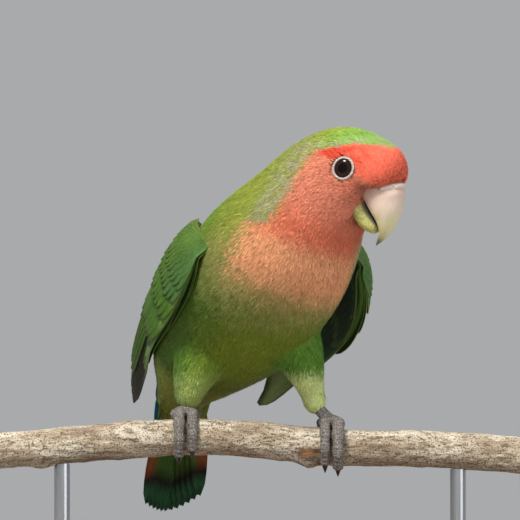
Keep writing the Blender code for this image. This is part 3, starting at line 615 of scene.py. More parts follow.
def upperHorn():
    horn = Paint("billHorn", Roughness=0.34, Coat_Weight=0.25, Coat_Roughness=0.25)
    along, over, _ = horn.parts(horn.attribute("vane"))
    streaks = horn.noise(1400, 4.0, (1.0, 1.0, 0.22))
    tone = horn.ramp(along + 0.05 * streaks, [
        (0.0, linear(206, 166, 152)), (0.35, linear(214, 190, 174)), (0.62, linear(212, 200, 156)),
        (0.85, linear(186, 180, 126)), (1.0, linear(110, 110, 96))])
    tone = horn.blend(0.28 * horn.range(streaks, 0.45, 0.7), tone, linear(170, 160, 120))
    # painted shade: the bottom face of the upper bill is dark, for the slit of the closed mouth
    tone = horn.blend(horn.range(over, 0.05, 0.015), tone, linear(44, 34, 30))
    height = streaks * 0.7 + horn.noise(5200, 3.0) * 0.3
    sheen = horn.range(streaks, 0.3, 0.8, 0.28, 0.46)
    return horn.use(Base_Color=tone, Roughness=sheen, Normal=horn.bump(height, 0.00012))


def lowerHorn():
    horn = Paint("lowerBillHorn", Roughness=0.42)
    _, over, _ = horn.parts(horn.attribute("vane"))
    spots = horn.noise(1600, 4.0)
    tone = horn.blend(horn.range(spots, 0.4, 0.66), linear(208, 204, 132), linear(166, 168, 76))
    tone = horn.blend(horn.range(over, 0.78, 0.92), tone, linear(134, 134, 112))
    # painted shade: the top face of the lower bill is dark, for the slit of the closed mouth
    tone = horn.blend(horn.range(over, 0.95, 0.985), tone, linear(36, 26, 24))
    return horn.use(Base_Color=tone, Normal=horn.bump(spots, 0.0002))


def buildCere():
    skin = Paint("cereSkin", Roughness=0.62)
    grain = skin.cells(3200)
    tone = skin.blend(skin.range(grain, 0.1, 0.7), linear(196, 170, 156), linear(216, 200, 188))
    skin.use(Base_Color=tone, Normal=skin.bump(grain, 0.0001))
    row = spline(bill["upper"], bill["cereRow"])[0]
    top, bottom = inHead(*row[:2]), inHead(*row[2:4])
    angles = np.linspace(-bill["cereSpan"], bill["cereSpan"], 41)
    wide = np.sin(angles) * (row[4] * (1 - bill["narrower"]["upper"] * np.cos(angles)))
    middle = (top + bottom) / 2
    line = middle + np.outer(np.cos(angles), (top - bottom) / 2) + np.outer(wide, headAxes[1])
    radii = bill["cereRadius"] * np.sin(np.linspace(0.35, np.pi - 0.35, 41)) ** 0.5
    rings = tubeRings(line, radii, 18, headAxes[0])
    for side in (-1, 1):
        hole = line[20 + side * int(round(20 * bill["nostril"] / bill["cereSpan"]))]
        face = unit(unit(hole - middle) + 0.8 * headAxes[0])
        near = np.linalg.norm(rings - (hole + face * bill["cereRadius"]), axis=-1)
        sink = bill["nostrilDepth"] * np.exp(-(near / bill["nostrilRadius"]) ** 2)
        rings = rings - face * sink[..., None]
    return closedPiece("cere_skin", *ringLoft(rings), skin.material, "cere")


def eyeAxes(side):
    near, far = 0.0, 30.0
    start = inHead(eye["forward"], eye["up"])
    ray = headAxes[1] * side
    for _ in range(26):
        half = (near + far) / 2
        if depth(np.array([start + half * ray]))[0] < 0:
            near = half
        else:
            far = half
    spot = start + near * ray
    out = unit(0.55 * outward(spot[None])[0] + 0.45 * ray)
    ahead = unit(headAxes[0] - np.dot(headAxes[0], out) * out)
    return spot - eye["sink"] * out, np.array([out, ahead, np.cross(out, ahead)])


def eyeGlass():
    glass = Paint("eyeBall", Roughness=0.12, Specular_IOR_Level=0.08, Coat_Weight=0.22, Coat_Roughness=0.02)
    reach, _, _ = glass.parts(glass.attribute("vane"))
    iris = glass.blend(glass.noise(900, 4.0), linear(48, 26, 17), linear(24, 13, 10))
    tone = glass.blend(glass.range(reach, 0.46, 0.54), linear(6, 5, 6), iris)
    return glass.use(Base_Color=glass.blend(glass.range(reach, 0.80, 0.92), tone, linear(22, 14, 14)))


def eyeRing():
    lids = Paint("eyeRing", Roughness=0.75, Specular_IOR_Level=0.2)
    grain = lids.cells(2600)
    tone = lids.blend(lids.range(grain, 0.15, 0.75), linear(140, 130, 122), linear(204, 196, 186))
    return lids.use(Base_Color=tone, Normal=lids.bump(grain, 0.00025))


def spokesAt(angles, axes):  # ways out from the middle of an eye
    return np.outer(np.cos(angles) * eye["narrow"], axes[1]) + np.outer(np.sin(angles), axes[2])


def buildEyes():
    glass, lids = eyeGlass(), eyeRing()
    steps = np.radians(np.linspace(-88, 88, eye["points"]))
    turns, around = (circle(count) for count in eye["ringPoints"])
    lobes = 0.08 * np.sin(turns * 23) + 0.06 * np.sin(turns * 37 + 1)
    for name, side in (("right", -1), ("left", 1)):
        middle, axes = eyeAxes(side)
        flat = spokesAt(circle(eye["points"]), axes)
        rings = []
        for step in steps:  # a deep back and a flatter front
            high = eye["rim"] + math.sin(step) * (eye["dome"] if step > 0 else eye["rim"] + eye["back"])
            rings.append(middle + high * axes[0] + eye["radius"] * math.cos(step) * flat)
        ends = (middle - eye["back"] * axes[0], middle + (eye["rim"] + eye["dome"]) * axes[0])
        reach = np.append(np.repeat(np.where(steps > 0, np.cos(steps), 1.0), eye["points"]), (1, 0))
        closedPiece("eye_%s_ball" % name, *ringLoft(rings, ends), glass, "eye_" + name, vanes=reach[:, None])
        wide = eye["ring"] + (eye["thick"] + np.outer(lobes, np.clip(np.cos(around), 0, 1))) * np.cos(around)
        high = eye["rise"] + eye["thick"] * np.sin(around) * 0.9
        points = middle + wide[..., None] * spokesAt(turns, axes)[:, None] + high[None, :, None] * axes[0]
        quads = gridFaces(len(turns) + 1, len(around), True) % (len(turns) * len(around))
        closedPiece("eyelid_%s_ring" % name, points.reshape(-1, 3), quads, lids, "eyelid_" + name)


# Skin and coat

coat = {
    "depth": 1.0,
    "voxel": 0.9,
    "smoothing": (3, 3, 2, 0),  # passes after each time that the skin is drawn onto the form
    "candidates": 170000,
    "lengthFar": (0, 3, 8, 16, 26, 40, 60, 90),  # distance from the bill
    "lengths": (1.2, 1.4, 1.8, 2.3, 2.9, 3.6, 4.2, 4.6),
    "legLength": 2.2,
    "spacing": 0.195,
    "leastSpacing": 0.42,
    "width": 0.62,
    "barbs": 14,
    "barbWidth": 0.105,  # half of it, at the root
    "heights": (-1.0, -0.30, 0.10),  # of root, middle and tip over the form, as parts of the depth
    "vaneShades": (0.7, 0.85, 0.85, 0.95, 0.95),  # from root to tip, painted shade under the barbs, darkest at the root
    # darker at the root of each barb, painted shade under the overlapping feathers, and paler at the tip
    "barbShades": (0.80, 0.80, 0.97, 0.97, 1.10),
    "pieceTriangles": 190000,
    "patch": 0.003,
    "eyeClear": 3.7,
    "billClear": 0.3,
    "billSink": 2.0,
}


def sinkAt(points):  # extra depth where the plumage meets the sides of the bill
    forward, _, up = ((points - headMiddle) @ headAxes.T).T
    return coat["billSink"] * soft(forward, 5.5, 9.2) * soft(up, -13, -9) * (1 - soft(up, -0.5, 2.5))


def joinCopies(names, name):
    points, faces, start = [], [], 0
    for part in names:
        mesh = nodes[part].data
        points.append(meshPoints(mesh))
        faces.append(triangles(mesh) + start)
        start += len(mesh.vertices)
    mesh = bpy.data.meshes.new(name)
    mesh.from_pydata(np.vstack(points).tolist(), [], np.vstack(faces).tolist())
    obj = bpy.data.objects.new(name, mesh)
    bpy.context.scene.collection.objects.link(obj)
    return obj


def formPoints(mesh):  # in millimetres from the middle of the perch
    return meshPoints(mesh) * 1000 - perchSpot


def downLayer():
    down = Paint("downLayer", Roughness=0.9)
    fluff = down.noise(1500, 3.0)
    darker = 0.4 * down.range(fluff, 0.3, 0.7)
    tone = down.blend(darker, down.attribute("plumage"), linear(90, 88, 70), "MULTIPLY")
    return down.use(Base_Color=tone, Normal=down.bump(fluff, 0.0003))


def buildSkin():
    flesh = ["torso", "neck", "head", "leg_left", "leg_right"]
    skin = joinCopies(flesh, "plumage_skin")
    step = skin.modifiers.new("remesh", "REMESH")
    step.mode = "VOXEL"
    step.voxel_size = coat["voxel"] * 0.001
    bpy.context.view_layer.objects.active = skin
    skin.select_set(True)
    bpy.ops.object.modifier_apply(modifier=step.name)
    mesh = skin.data
    points = formPoints(mesh)
    edges = np.empty(len(mesh.edges) * 2, int)
    mesh.edges.foreach_get("vertices", edges)
    edges = edges.reshape(-1, 2)
    for smoothing in coat["smoothing"]:
        points, out = onForm(points, -coat["depth"] - sinkAt(points), 2)
        for _ in range(smoothing):
            total = np.zeros_like(points)
            count = np.zeros(len(points))
            for a, b in ((0, 1), (1, 0)):
                np.add.at(total, edges[:, a], points[edges[:, b]])
                np.add.at(count, edges[:, a], 1)
            points = mix(points, total / np.maximum(count, 1)[:, None], 0.5)
    mesh.vertices.foreach_set("co", place(points).astype(np.float32).ravel())
    mesh.update()
    colours = np.ones((len(points), 4), np.float32)
    colours[:, :3] = plumageAt(points, out) * 0.8  # painted shade between the feathers, a fifth darker
    mesh.color_attributes.new("plumage", "FLOAT_COLOR", "POINT").data.foreach_set("color", colours.ravel())
    bpy.ops.object.mode_set(mode="EDIT")
    bpy.ops.mesh.select_all(action="SELECT")
    bpy.ops.uv.smart_project(angle_limit=math.radians(62), island_margin=0.004)
    bpy.ops.object.mode_set(mode="OBJECT")
    mesh.uv_layers[0].name = "OFBake"
    mesh.shade_smooth()
    dress(skin, downLayer())
    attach(skin, "root")
    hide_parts("torso", "neck", "head", "leg_left", "leg_right")
    return skin


def coveredBy(solids, spots, chosen):  # spots in the bill or the cere, or nearly touching them
    meshes = [solid.data for solid in solids]
    trees = [BVHTree.FromPolygons(meshPoints(mesh).tolist(), triangles(mesh).tolist()) for mesh in meshes]
    covered = []
    for i in chosen:
        spot = Vector(place(spots[i]))
        for tree in trees:
            hit, normal, _, distance = tree.find_nearest(spot)
            if (spot - hit).dot(normal) < 0 or distance < coat["billClear"] * 0.001:
                covered.append(i)
    return covered


def thinned(spots, gaps, order):  # takes spots in turn, each clearing the ground round it
    tree = KDTree(len(order))
    for i in order:
        tree.insert(Vector(spots[i]), int(i))
    tree.balance()
    free = np.zeros(len(spots), bool)
    free[order] = True
    roots = []
    for i in order:
        if free[i]:
            roots.append(i)
            for _, other, _ in tree.find_range(Vector(spots[i]), gaps[i]):
                free[other] = False
    return np.array(roots)


def sampleRoots(skin, solids):
    mesh = skin.data
    corners, loops = triangles(mesh), triangles(mesh, "loops")
    uv = np.empty(len(mesh.loops) * 2)
    mesh.uv_layers["OFBake"].data.foreach_get("uv", uv)
    uv = uv.reshape(-1, 2)
    points = formPoints(mesh)
    a, b, c = points[corners[:, 0]], points[corners[:, 1]], points[corners[:, 2]]
    area = np.linalg.norm(np.cross(b - a, c - a), axis=1)
    chosen = rng.choice(len(area), coat["candidates"], p=area / area.sum())
    r = np.sqrt(rng.uniform(size=(len(chosen), 1)))
    s = rng.uniform(size=(len(chosen), 1))
    spots, patch = ((1 - r) * at[corner[:, 0]] + r * (1 - s) * at[corner[:, 1]] + r * s * at[corner[:, 2]]
                    for at, corner in ((points, corners[chosen]), (uv, loops[chosen])))
    far = np.linalg.norm(spots - inHead(*head["billBase"]), axis=1)
    length = np.interp(far, coat["lengthFar"], coat["lengths"])
    for leg in body["legs"]:
        low = soft(24 - spots[:, 2], 0, 10) * (1 - soft(legDistance(spots, leg), 7, 11))
        length = mix(length, coat["legLength"], low)
    keep = np.ones(len(spots), bool)
    for side in (-1, 1):
        middle, axes = eyeAxes(side)
        local = (spots - middle) @ axes.T
        ring = np.hypot(local[:, 1] / eye["narrow"], local[:, 2])
        keep &= (ring > coat["eyeClear"]) | (local[:, 0] < 0)
        shorter = np.minimum(length, 1.2 + 0.28 * (ring - 3.5))
        length = np.where((ring < 8) & (local[:, 0] > -2), shorter, length)
    high = (spots - headMiddle) @ headAxes[2]
    keep[coveredBy(solids, spots, np.where(keep & (far < 26) & (high > -14))[0])] = False
    order = rng.permutation(np.where(keep)[0])
    roots = thinned(spots, np.maximum(coat["spacing"] * length, coat["leastSpacing"]), order)
    return spots[roots], length[roots], patch[roots]


class Feathers:  # the small feathers, each along a line through three points over the form
    def __init__(self, roots, length):
        count = len(roots)
        out = outward(roots)
        lie = lieAt(roots, out)
        flow = 0.10 * ripple(roots, 9.0)[:, None]
        lie = unit(lie + np.cross(out, lie) * (rng.normal(0, 0.12, (count, 1)) + flow))
        self.lines, self.outs, self.sides = [], [], []
        spot = roots
        for k, height in enumerate(coat["heights"]):
            if k:
                spot = spot + lie * (length * 0.5)[:, None]
            level = height * coat["depth"] - sinkAt(spot) + (rng.normal(0, 0.07, count) if k else 0)
            spot, normal = onForm(spot, level, 1)
            lie = unit(lie - dot(lie, normal) * normal)
            self.lines.append(spot)
            self.outs.append(normal)
            self.sides.append(np.cross(normal, lie))
        self.length = length
        self.width = coat["width"] * length * rng.uniform(0.9, 1.1, count)

    def at(self, part, across, lift):  # points and normals, at parts along and across each feather
        each = (slice(None),) + (None,) * (part.ndim - 1)
        first, second = (np.clip(part * 2 - k, 0, 1)[..., None] for k in (0, 1))
        root, middle, tip = (line[each] for line in self.lines)
        line = root * (1 - first) + middle * first + (tip - middle) * second
        along = part[..., None]
        normal, turn = (rows[0][each] * (1 - along) + rows[2][each] * along
                        for rows in (self.outs, self.sides))
        bent = normal + turn * (0.55 * across / self.width[each])[..., None]
        return line + turn * across[..., None] + normal * lift[..., None], bent


def softVanes(feathers):  # a kite of three faces under the barbs: points, normals and patch places
    width = feathers.width[:, None]
    part = np.broadcast_to(np.array([0.0, 0.45, 0.45, 0.9, 0.9]), (len(width), 5))
    cross = np.array([0.0, -0.42, 0.42, -0.22, 0.22]) * width
    points, normals = feathers.at(part, cross, np.full(part.shape, -0.16))
    return points, normals, np.stack([part, cross / width + 0.5], axis=-1)


def barbRows(feathers):  # the same of the barbs, in two rows nearly side by side
    half = coat["barbs"] // 2
    width = feathers.width[:, None]
    q = np.tile((np.arange(half) + 0.5) / half, 2)[None, :] + rng.normal(0, 0.04, (len(width), coat["barbs"]))
    q = np.clip(q, 0.02, 1.0)
    hand = np.repeat([-1.0, 1.0], half)[None, :]
    start = 0.05 + 0.45 * q
    end = np.clip(0.50 + 0.52 * q + rng.normal(0, 0.05, q.shape), 0, 1.08)
    spread = 0.5 * np.sqrt(np.clip(1.02 - q ** 2.2, 0.0, 1)) * width * hand
    spread = spread + rng.normal(0, 0.05, q.shape) * width
    thin = np.minimum(coat["barbWidth"], 0.042 * feathers.length)[:, None] * rng.uniform(0.75, 1.25, q.shape)
    lift = rng.normal(0.03, 0.05, q.shape)
    bend = 0.55 * end + 0.45 * start
    base, middle = 0.35 * spread, 0.75 * spread
    part = np.stack([start, start, bend, bend, end], axis=-1)
    cross = np.stack([base - thin, base + thin, middle - thin, middle + thin, spread], axis=-1)
    lifts = np.stack([0 * q, 0 * q, lift * 0.5 + 0.03, lift * 0.5 + 0.03, lift], axis=-1)
    points, normals = feathers.at(part, cross, lifts)
    normals = normals + rng.normal(0, 0.13, q.shape + (1, 3))
    return points, normals, np.stack([np.clip(part, 0, 1), cross / width[..., None] + 0.5], axis=-1)


def barbTones(feathers, points):  # barb by barb, so that the markings run into each other finely
    each = points.shape[:2]
    grain = rng.normal(0, 0.45, each)
    flat = points[:, :, 3].reshape(-1, 3)
    tone = plumageAt(flat, np.repeat(feathers.outs[1], each[1], axis=0), grain.ravel()).reshape(*each, 1, 3)
    shade = 1 + 0.07 * ripple(flat, 6.0) + 0.05 * ripple(flat + 70, 2.4)
    onBody = soft(np.linalg.norm(flat - inHead(*head["billBase"]), axis=1), 12, 26).reshape(each)
    dashes = rng.uniform(size=each)  # a few barbs are much paler or darker, more so on the body
    shade = shade.reshape(each) * rng.normal(1, 0.055, each) * rng.normal(1, 0.03, (each[0], 1))
    shade = shade * (1 + (0.10 + 0.30 * onBody) * (dashes > 0.86) - (0.10 + 0.26 * onBody) * (dashes < 0.14))
    # barbShades darken each barb towards its root, painted shade
    return tone * (shade[..., None] * np.array(coat["barbShades"]))[..., None]


def barbPaint():
    barbs = Paint("featherBarbs", Roughness=0.75, Specular_IOR_Level=0.18)
    mottle = barbs.noise(700, 2.0)
    warmer = barbs.range(mottle, 0.3, 0.75, 0.0, 0.22)
    tone = barbs.blend(warmer, barbs.attribute("plumage"), (1.0, 0.96, 0.80), "MULTIPLY")
    return barbs.use(Base_Color=tone, Roughness=barbs.range(mottle, 0.3, 0.7, 0.62, 0.82))


def buildCoat(skin, solids):
    roots, length, patch = sampleRoots(skin, solids)
    count = len(roots)
    print("feather roots", count)
    feathers = Feathers(roots, length)
    vane, barb = softVanes(feathers), barbRows(feathers)
    points, normals, uv = (np.concatenate([a, b.reshape(count, -1, b.shape[-1])], axis=1)
                           for a, b in zip(vane, barb))
    uv = patch[:, None] + (uv - 0.5) * coat["patch"]
    tones = barbTones(feathers, barb[0]).reshape(count, -1, 3)
    vaneTones = plumageAt(feathers.lines[1], feathers.outs[1])[:, None]
    # the soft vanes darkened by vaneShades, painted shade under the barbs
    vaneTones = vaneTones * np.array(coat["vaneShades"])[:, None]
    colours = np.clip(np.concatenate([vaneTones, tones], axis=1), 0, 1)
    starts = 5 * np.arange(1, coat["barbs"] + 1)  # five points to the soft vane and to each barb
    barbFaces = np.array([[0, 3, 1], [0, 2, 3], [2, 4, 3]]) + starts[:, None, None]
    faces = np.vstack([[[0, 1, 2], [1, 4, 2], [1, 3, 4]], barbFaces.reshape(-1, 3)])
    material = barbPaint()
    perPiece = coat["pieceTriangles"] // len(faces)
    order = np.argsort(roots @ bodyAxes[0])  # pieces run from the tail to the bill
    for number, low in enumerate(range(0, count, perPiece)):
        some = order[low:low + perPiece]
        index = (faces[None] + points.shape[1] * np.arange(len(some))[:, None, None]).reshape(-1, 3)
        piece = meshPiece("coat_%02d" % (number + 1), points[some].reshape(-1, 3), index, material,
                          colours=colours[some].reshape(-1, 3), patches=uv[some].reshape(-1, 2))
        piece.data.normals_split_custom_set_from_vertices(unit(normals[some]).reshape(-1, 3).tolist())
    print("coat triangles", count * len(faces))


# Large feathers of the wings and tail

vaneLook = {"steps": 11, "sides": 7, "thick": 0.16, "camber": 0.28, "shaft": 0.10}


def vanePiece(middles, sides, normals, widths, tilt, camber):  # closed thin vane, with its shaft raised
    middles, sides, normals = np.array(middles), np.array(sides), np.array(normals)
    across = np.linspace(-1, 1, vaneLook["sides"])
    lift = camber * (1 - across ** 2) + np.where(np.abs(across) < 0.01, vaneLook["shaft"], 0.0)
    top = (middles[:, None] + sides[:, None] * (widths[:, None] * across)[..., None]
           + normals[:, None] * (lift[None, :] - tilt / 2 * across[None, :])[..., None])
    low = top - normals[:, None] * vaneLook["thick"]
    rows, columns = len(middles), len(across)
    ring = np.concatenate([top, low[:, ::-1]], axis=1)
    caps = []
    for row in (0, rows - 1):
        base = row * columns * 2
        for j in range(columns - 1):
            quad = [base + j, base + j + 1, base + columns * 2 - 2 - j, base + columns * 2 - 1 - j]
            caps.append(quad if row else quad[::-1])
    part = np.linspace(0, 1, rows)[:, None] * np.ones((1, columns * 2))
    cross = np.concatenate([across, across[::-1]])[None] * np.ones((rows, 1))
    faces = np.vstack([gridFaces(rows, columns * 2, True), caps])
    return ring.reshape(-1, 3), faces, part.ravel(), cross.ravel()


def tipShape(width, point=0.62, end=0.16):  # half widths from root to tip
    t = np.linspace(0, 1, vaneLook["steps"])
    tip = np.sqrt(np.maximum(1 - ((t - point) / (1.005 - point)) ** 2 * (t > point), end ** 2))
    return width / 2 * np.minimum(0.5 + 1.3 * t, tip)


class Vanes:  # gathers many vanes into one mesh
    def __init__(self):
        self.points, self.faces, self.colours, self.vanes = [], [], [], []
        self.start = 0

    def put(self, vane, colour):
        points, faces, part, cross = vane
        number = np.full(len(part), (len(self.points) * 0.37) % 1)
        self.points.append(points)
        self.faces.append(faces + self.start)
        self.colours.append(colour)
        self.vanes.append(np.stack([part, cross * 0.5 + 0.5, number], axis=1))
        self.start += len(points)

    def make(self, name, material, replaced):
        obj = meshPiece(name, np.vstack(self.points), np.vstack(self.faces), material,
                        colours=np.clip(np.vstack(self.colours), 0, 1), vanes=np.vstack(self.vanes))
        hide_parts(replaced)


def buildCore(name, rings, material, tone):  # the flesh that large feathers grow from
    points, faces = ringLoft(rings)
    vanes = np.tile([0.5, 0.3, 0.5], (len(points), 1))
    closedPiece(name, points, faces, material, colours=tone(points), vanes=vanes)


def vanePaint():
    paint = Paint("flightVanes", Roughness=0.6, Specular_IOR_Level=0.14)
    part, cross, number = paint.parts(paint.attribute("vane"))
    away = paint.add("ShaderNodeMath", {"operation": "ABSOLUTE"}, {0: cross - 0.5})
    turns = (part * 55 - away * 34 + number * 9) * (2 * math.pi)
    lines = paint.add("ShaderNodeMath", {"operation": "SINE"}, {0: turns})
    frayed = paint.noise(1600, 3.0)
    darker = 0.12 * paint.range(lines, -1, 1) + 0.22 * paint.range(frayed, 0.4, 0.7)
    base = paint.blend(darker, paint.attribute("plumage"), (0.35, 0.38, 0.30), "MULTIPLY")
    base = paint.blend(0.5 * paint.range(away, 0.035, 0.012), base, linear(60, 58, 40))
    rough = paint.range(frayed, 0.3, 0.7, 0.46, 0.66)
    return paint.use(Base_Color=base, Roughness=rough, Normal=paint.bump(lines * 0.5 + frayed * 0.8, 0.00007))


wings = {
    "right": {
        "edge": ((-15.8, -20.6, 59.5), (-18.6, -18.0, 51.0), (-22.5, -11.6, 42.0), (-27.2, 0.0, 34.0),
                 (-31.0, 13.0, 28.5), (-34.6, 28.5, 22.4), (-37.2, 46.0, 15.6), (-38.6, 60.0, 10.8)),
        "back": ((-13.5, -13.0, 65.5), (-17.5, 0.0, 65.6), (-22.5, 11.0, 61.0), (-27.0, 21.5, 52.5),
                 (-32.0, 31.5, 41.5), (-36.0, 41.0, 30.5), (-38.6, 51.5, 19.5), (-38.9, 61.0, 12.4)),
        "out": (-0.965, -0.255, 0.055),
    },
    "left": {
        "edge": ((26.5, -8.0, 57.0), (30.0, -3.0, 49.5), (30.4, 7.0, 39.0), (26.5, 19.5, 29.8),
                 (19.2, 32.5, 23.4), (10.8, 46.5, 18.0), (4.2, 60.0, 13.0), (-0.6, 69.0, 9.8)),
        "back": ((21.0, -2.0, 62.5), (22.5, 8.0, 64.0), (20.5, 19.5, 61.0), (15.0, 29.5, 51.5),
                 (8.5, 39.5, 40.5), (3.4, 49.5, 29.5), (-0.4, 60.5, 18.5), (-2.2, 70.0, 11.6)),
        "out": (0.90, 0.40, 0.12),
    },
    "bulge": (2.5, 4.2, 5.2, 5.0, 4.0, 2.6, 1.2, 0.4),
    "clear": 1.9,
    "grid": (29, 11),
    # count, root along, tip along at the edge and at the back, span across, width, lift at root and tip, kind
    "tiers": (
        (10, 0.34, 1.00, 0.88, 0.10, 0.58, 6.2, 0.0, 0.1, "primary"),
        (9, 0.28, 0.80, 0.66, 0.34, 0.93, 6.6, 0.4, 0.9, "secondary"),
        (12, 0.20, 0.54, 0.52, 0.07, 0.93, 5.4, 0.8, 1.5, "greater"),
        (13, 0.15, 0.40, 0.40, 0.06, 0.94, 4.6, 1.2, 2.0, "median"),
        (14, 0.11, 0.31, 0.32, 0.05, 0.95, 4.0, 1.4, 2.3, "lesser"),
        (14, 0.075, 0.245, 0.255, 0.04, 0.95, 3.7, 1.5, 2.4, "lesser"),
        (13, 0.045, 0.19, 0.20, 0.05, 0.94, 3.4, 1.5, 2.3, "lesser"),
        (13, 0.02, 0.14, 0.15, 0.06, 0.93, 3.1, 1.3, 2.2, "marginal"),
        (12, 0.005, 0.095, 0.105, 0.08, 0.92, 2.9, 0.9, 1.9, "marginal"),
        (11, 0.0, 0.055, 0.065, 0.1, 0.9, 2.7, 0.3, 1.4, "marginal"),
    ),
    # the same for the underside, which lies below the lining
    "underTiers": (
        (9, 0.22, 0.74, 0.62, 0.10, 0.90, 7.0, 1.2, 0.9, "under"),
        (9, 0.12, 0.50, 0.46, 0.07, 0.92, 6.0, 1.7, 1.5, "under"),
        (9, 0.05, 0.34, 0.32, 0.06, 0.92, 5.2, 1.7, 2.0, "under"),
        (8, 0.01, 0.20, 0.20, 0.08, 0.90, 4.4, 1.2, 2.1, "under"),
    ),
    "buried": (3.2, 0.08, 0.09),  # depth of the shoulder in the plumage, for how long, longer at the back
    "narrowTop": (0.5, 4.0),  # width at the shoulder, and how fast it opens
    "tilt": 0.5,
    "pointed": {"primary": 0.5},  # where the tip starts to round off, and for the others
    "blunt": 0.58,
    "lining": (0.62, 20, 11),  # length, stations and lanes of the flesh inside
    "pale": linear(94, 108, 58),
    "bluish": linear(72, 126, 92),
    "edging": linear(150, 184, 104),
    "yellowish": linear(146, 168, 60),
    "under": (linear(34, 54, 36), linear(48, 82, 38), linear(110, 138, 60)),
    "primary": (linear(20, 20, 19), linear(52, 86, 30), linear(92, 92, 74)),
    "secondary": (linear(42, 58, 28), linear(66, 106, 32), linear(106, 138, 48)),
    "greater": (linear(58, 98, 32), linear(78, 122, 36), linear(116, 148, 50)),
    "median": (linear(64, 106, 36), linear(84, 130, 40), linear(124, 156, 56)),
    "lesser": (linear(70, 112, 40), linear(90, 134, 46), linear(128, 158, 60)),
    "marginal": (linear(78, 118, 48), linear(98, 138, 52), linear(134, 162, 66)),
}


def wingSurface(wing):
    along, across = (np.linspace(0, 1, count) for count in wings["grid"])
    tables = (wing["edge"], wing["back"], np.array(wings["bulge"])[:, None])
    edges, backs, bulge = (spline(table, along * (len(table) - 1)) for table in tables)
    grid = np.empty(wings["grid"] + (3,))
    for i, c in enumerate(across):
        grid[:, i] = edges * (1 - c) + backs * c + bulge * 4 * c * (1 - c) * unit(wing["out"])
    flat = grid.reshape(-1, 3)
    for _ in range(4):
        lack = wings["clear"] - depth(flat)
        flat = flat + np.maximum(lack, 0)[:, None] * outward(flat)
    grid = flat.reshape(grid.shape)
    for _ in range(2):
        inner = (grid[:-2, 1:-1] + grid[2:, 1:-1] + grid[1:-1, :-2] + grid[1:-1, 2:]) / 4
        grid[1:-1, 1:-1] = 0.5 * grid[1:-1, 1:-1] + 0.5 * inner
    normals = unit(np.cross(np.gradient(grid, axis=0), np.gradient(grid, axis=1)))
    normals = normals if np.mean(normals @ unit(wing["out"])) > 0 else -normals
    buried, until, more = wings["buried"]
    sunk = 1 - soft(along[:, None] / (until + more * across[None, :]), 0, 1)
    return grid - normals * (buried * sunk)[..., None], normals


def onGrid(grid, along, across):  # between the grid's points, and straight on before its start
    rows, columns = grid.shape[0] - 1, grid.shape[1] - 1
    x, y = np.clip(along, 0, 1) * rows, np.clip(across, 0, 1) * columns
    i, j = min(int(x), rows - 1), min(int(y), columns - 1)
    u, v = x - i, y - j
    near = grid[i, j] * (1 - u) * (1 - v) + grid[i + 1, j] * u * (1 - v)
    value = near + grid[i, j + 1] * (1 - u) * v + grid[i + 1, j + 1] * u * v
    return value + min(along, 0.0) * rows * (grid[1, j] - grid[0, j])


def opened(along):  # the part of the wing's width in use, less at the shoulder
    narrow, opening = wings["narrowTop"]
    return min(1.0, narrow + opening * max(along, 0))


def raised(along):  # the part of a feather's lift in use, less at the shoulder
    return 0.25 + 0.75 * float(soft(along, 0.02, 0.25))


def wingColour(kind, part, cross, across):
    dark, web, rim = wings[kind]
    colour = tint(dark, web, soft(cross, 0.25, -0.15))  # brighter towards the leading edge
    if kind == "primary":
        colour = tint(colour, dark, soft(part + 0.15 * across, 0.42, 0.62))
        colour = tint(colour, rim, 0.6 * soft(-cross, 0.9, 0.99) * soft(part, 0.1, 0.4))
    else:
        colour = tint(colour, rim, 0.75 * np.maximum(soft(np.abs(cross), 0.66, 0.97), soft(part, 0.86, 0.99)))
    if kind in ("marginal", "lesser"):
        colour = mix(colour, wings["bluish"], 0.32 * soft(0.45 - across, 0, 0.3))
    if across < 0.13 and kind in ("primary", "greater", "median"):
        colour = tint(colour, wings["edging"], 0.6 * soft(0.75 - part, 0, 0.2))
    if across > 0.88:
        colour = mix(colour, wings["yellowish"], 0.45)
    return colour


def wingVane(grid, normals, below, root, tip, across, width, liftRoot, liftTip, kind):
    middles, sides, outs, chord = [], [], [], []
    t = np.linspace(0, 1, vaneLook["steps"])
    for s, u in zip(root + (tip - root) * t, t):
        at = across * opened(s)
        normal = unit(onGrid(normals, s, at)) * below
        middles.append(onGrid(grid, s, at) + normal * raised(s) * (liftRoot + (liftTip - liftRoot) * u))
        sides.append(below * unit(onGrid(grid, s, min(at + 0.1, 1)) - onGrid(grid, s, max(at - 0.1, 0))))
        outs.append(normal)
        chord.append(np.linalg.norm(onGrid(grid, s, 1) - onGrid(grid, s, 0)))
    widths = tipShape(width, wings["pointed"].get(kind, wings["blunt"]))
    widths = np.minimum(widths, 0.3 * np.array(chord) + 1.2)
    return vanePiece(middles, sides, outs, widths, wings["tilt"], vaneLook["camber"])


def buildLining(name, grid, normals, material):
    length, stations, lanes = wings["lining"]
    lanes = np.linspace(0.03, 0.97, lanes)
    rings = []
    for s in np.linspace(0.0, length, stations):
        fade = np.sqrt(max(1 - (s / length) ** 2, 0.02)) * min(1.0, 0.35 + 7 * s)
        upper, lower = [], []
        for c in lanes * opened(s):
            roundOff = 0.35 + 0.65 * np.sqrt(max(1 - (2 * c - 1) ** 2, 0))
            spot, normal = onGrid(grid, s, c), unit(onGrid(normals, s, c))
            upper.append(spot + normal * (0.1 + 1.5 * fade * roundOff * raised(s)))
            lower.append(spot - normal * (0.25 + 1.1 * fade * roundOff))
        rings.append(upper + lower[::-1])
    lane = np.append(np.tile(np.append(lanes, lanes[::-1]), stations), (0.5, 0.5))
    buildCore("wing_%s_lining" % name, rings, material,
              lambda points: tint(linear(88, 122, 58), linear(58, 78, 40), soft(lane, 0.02, 0.08)))


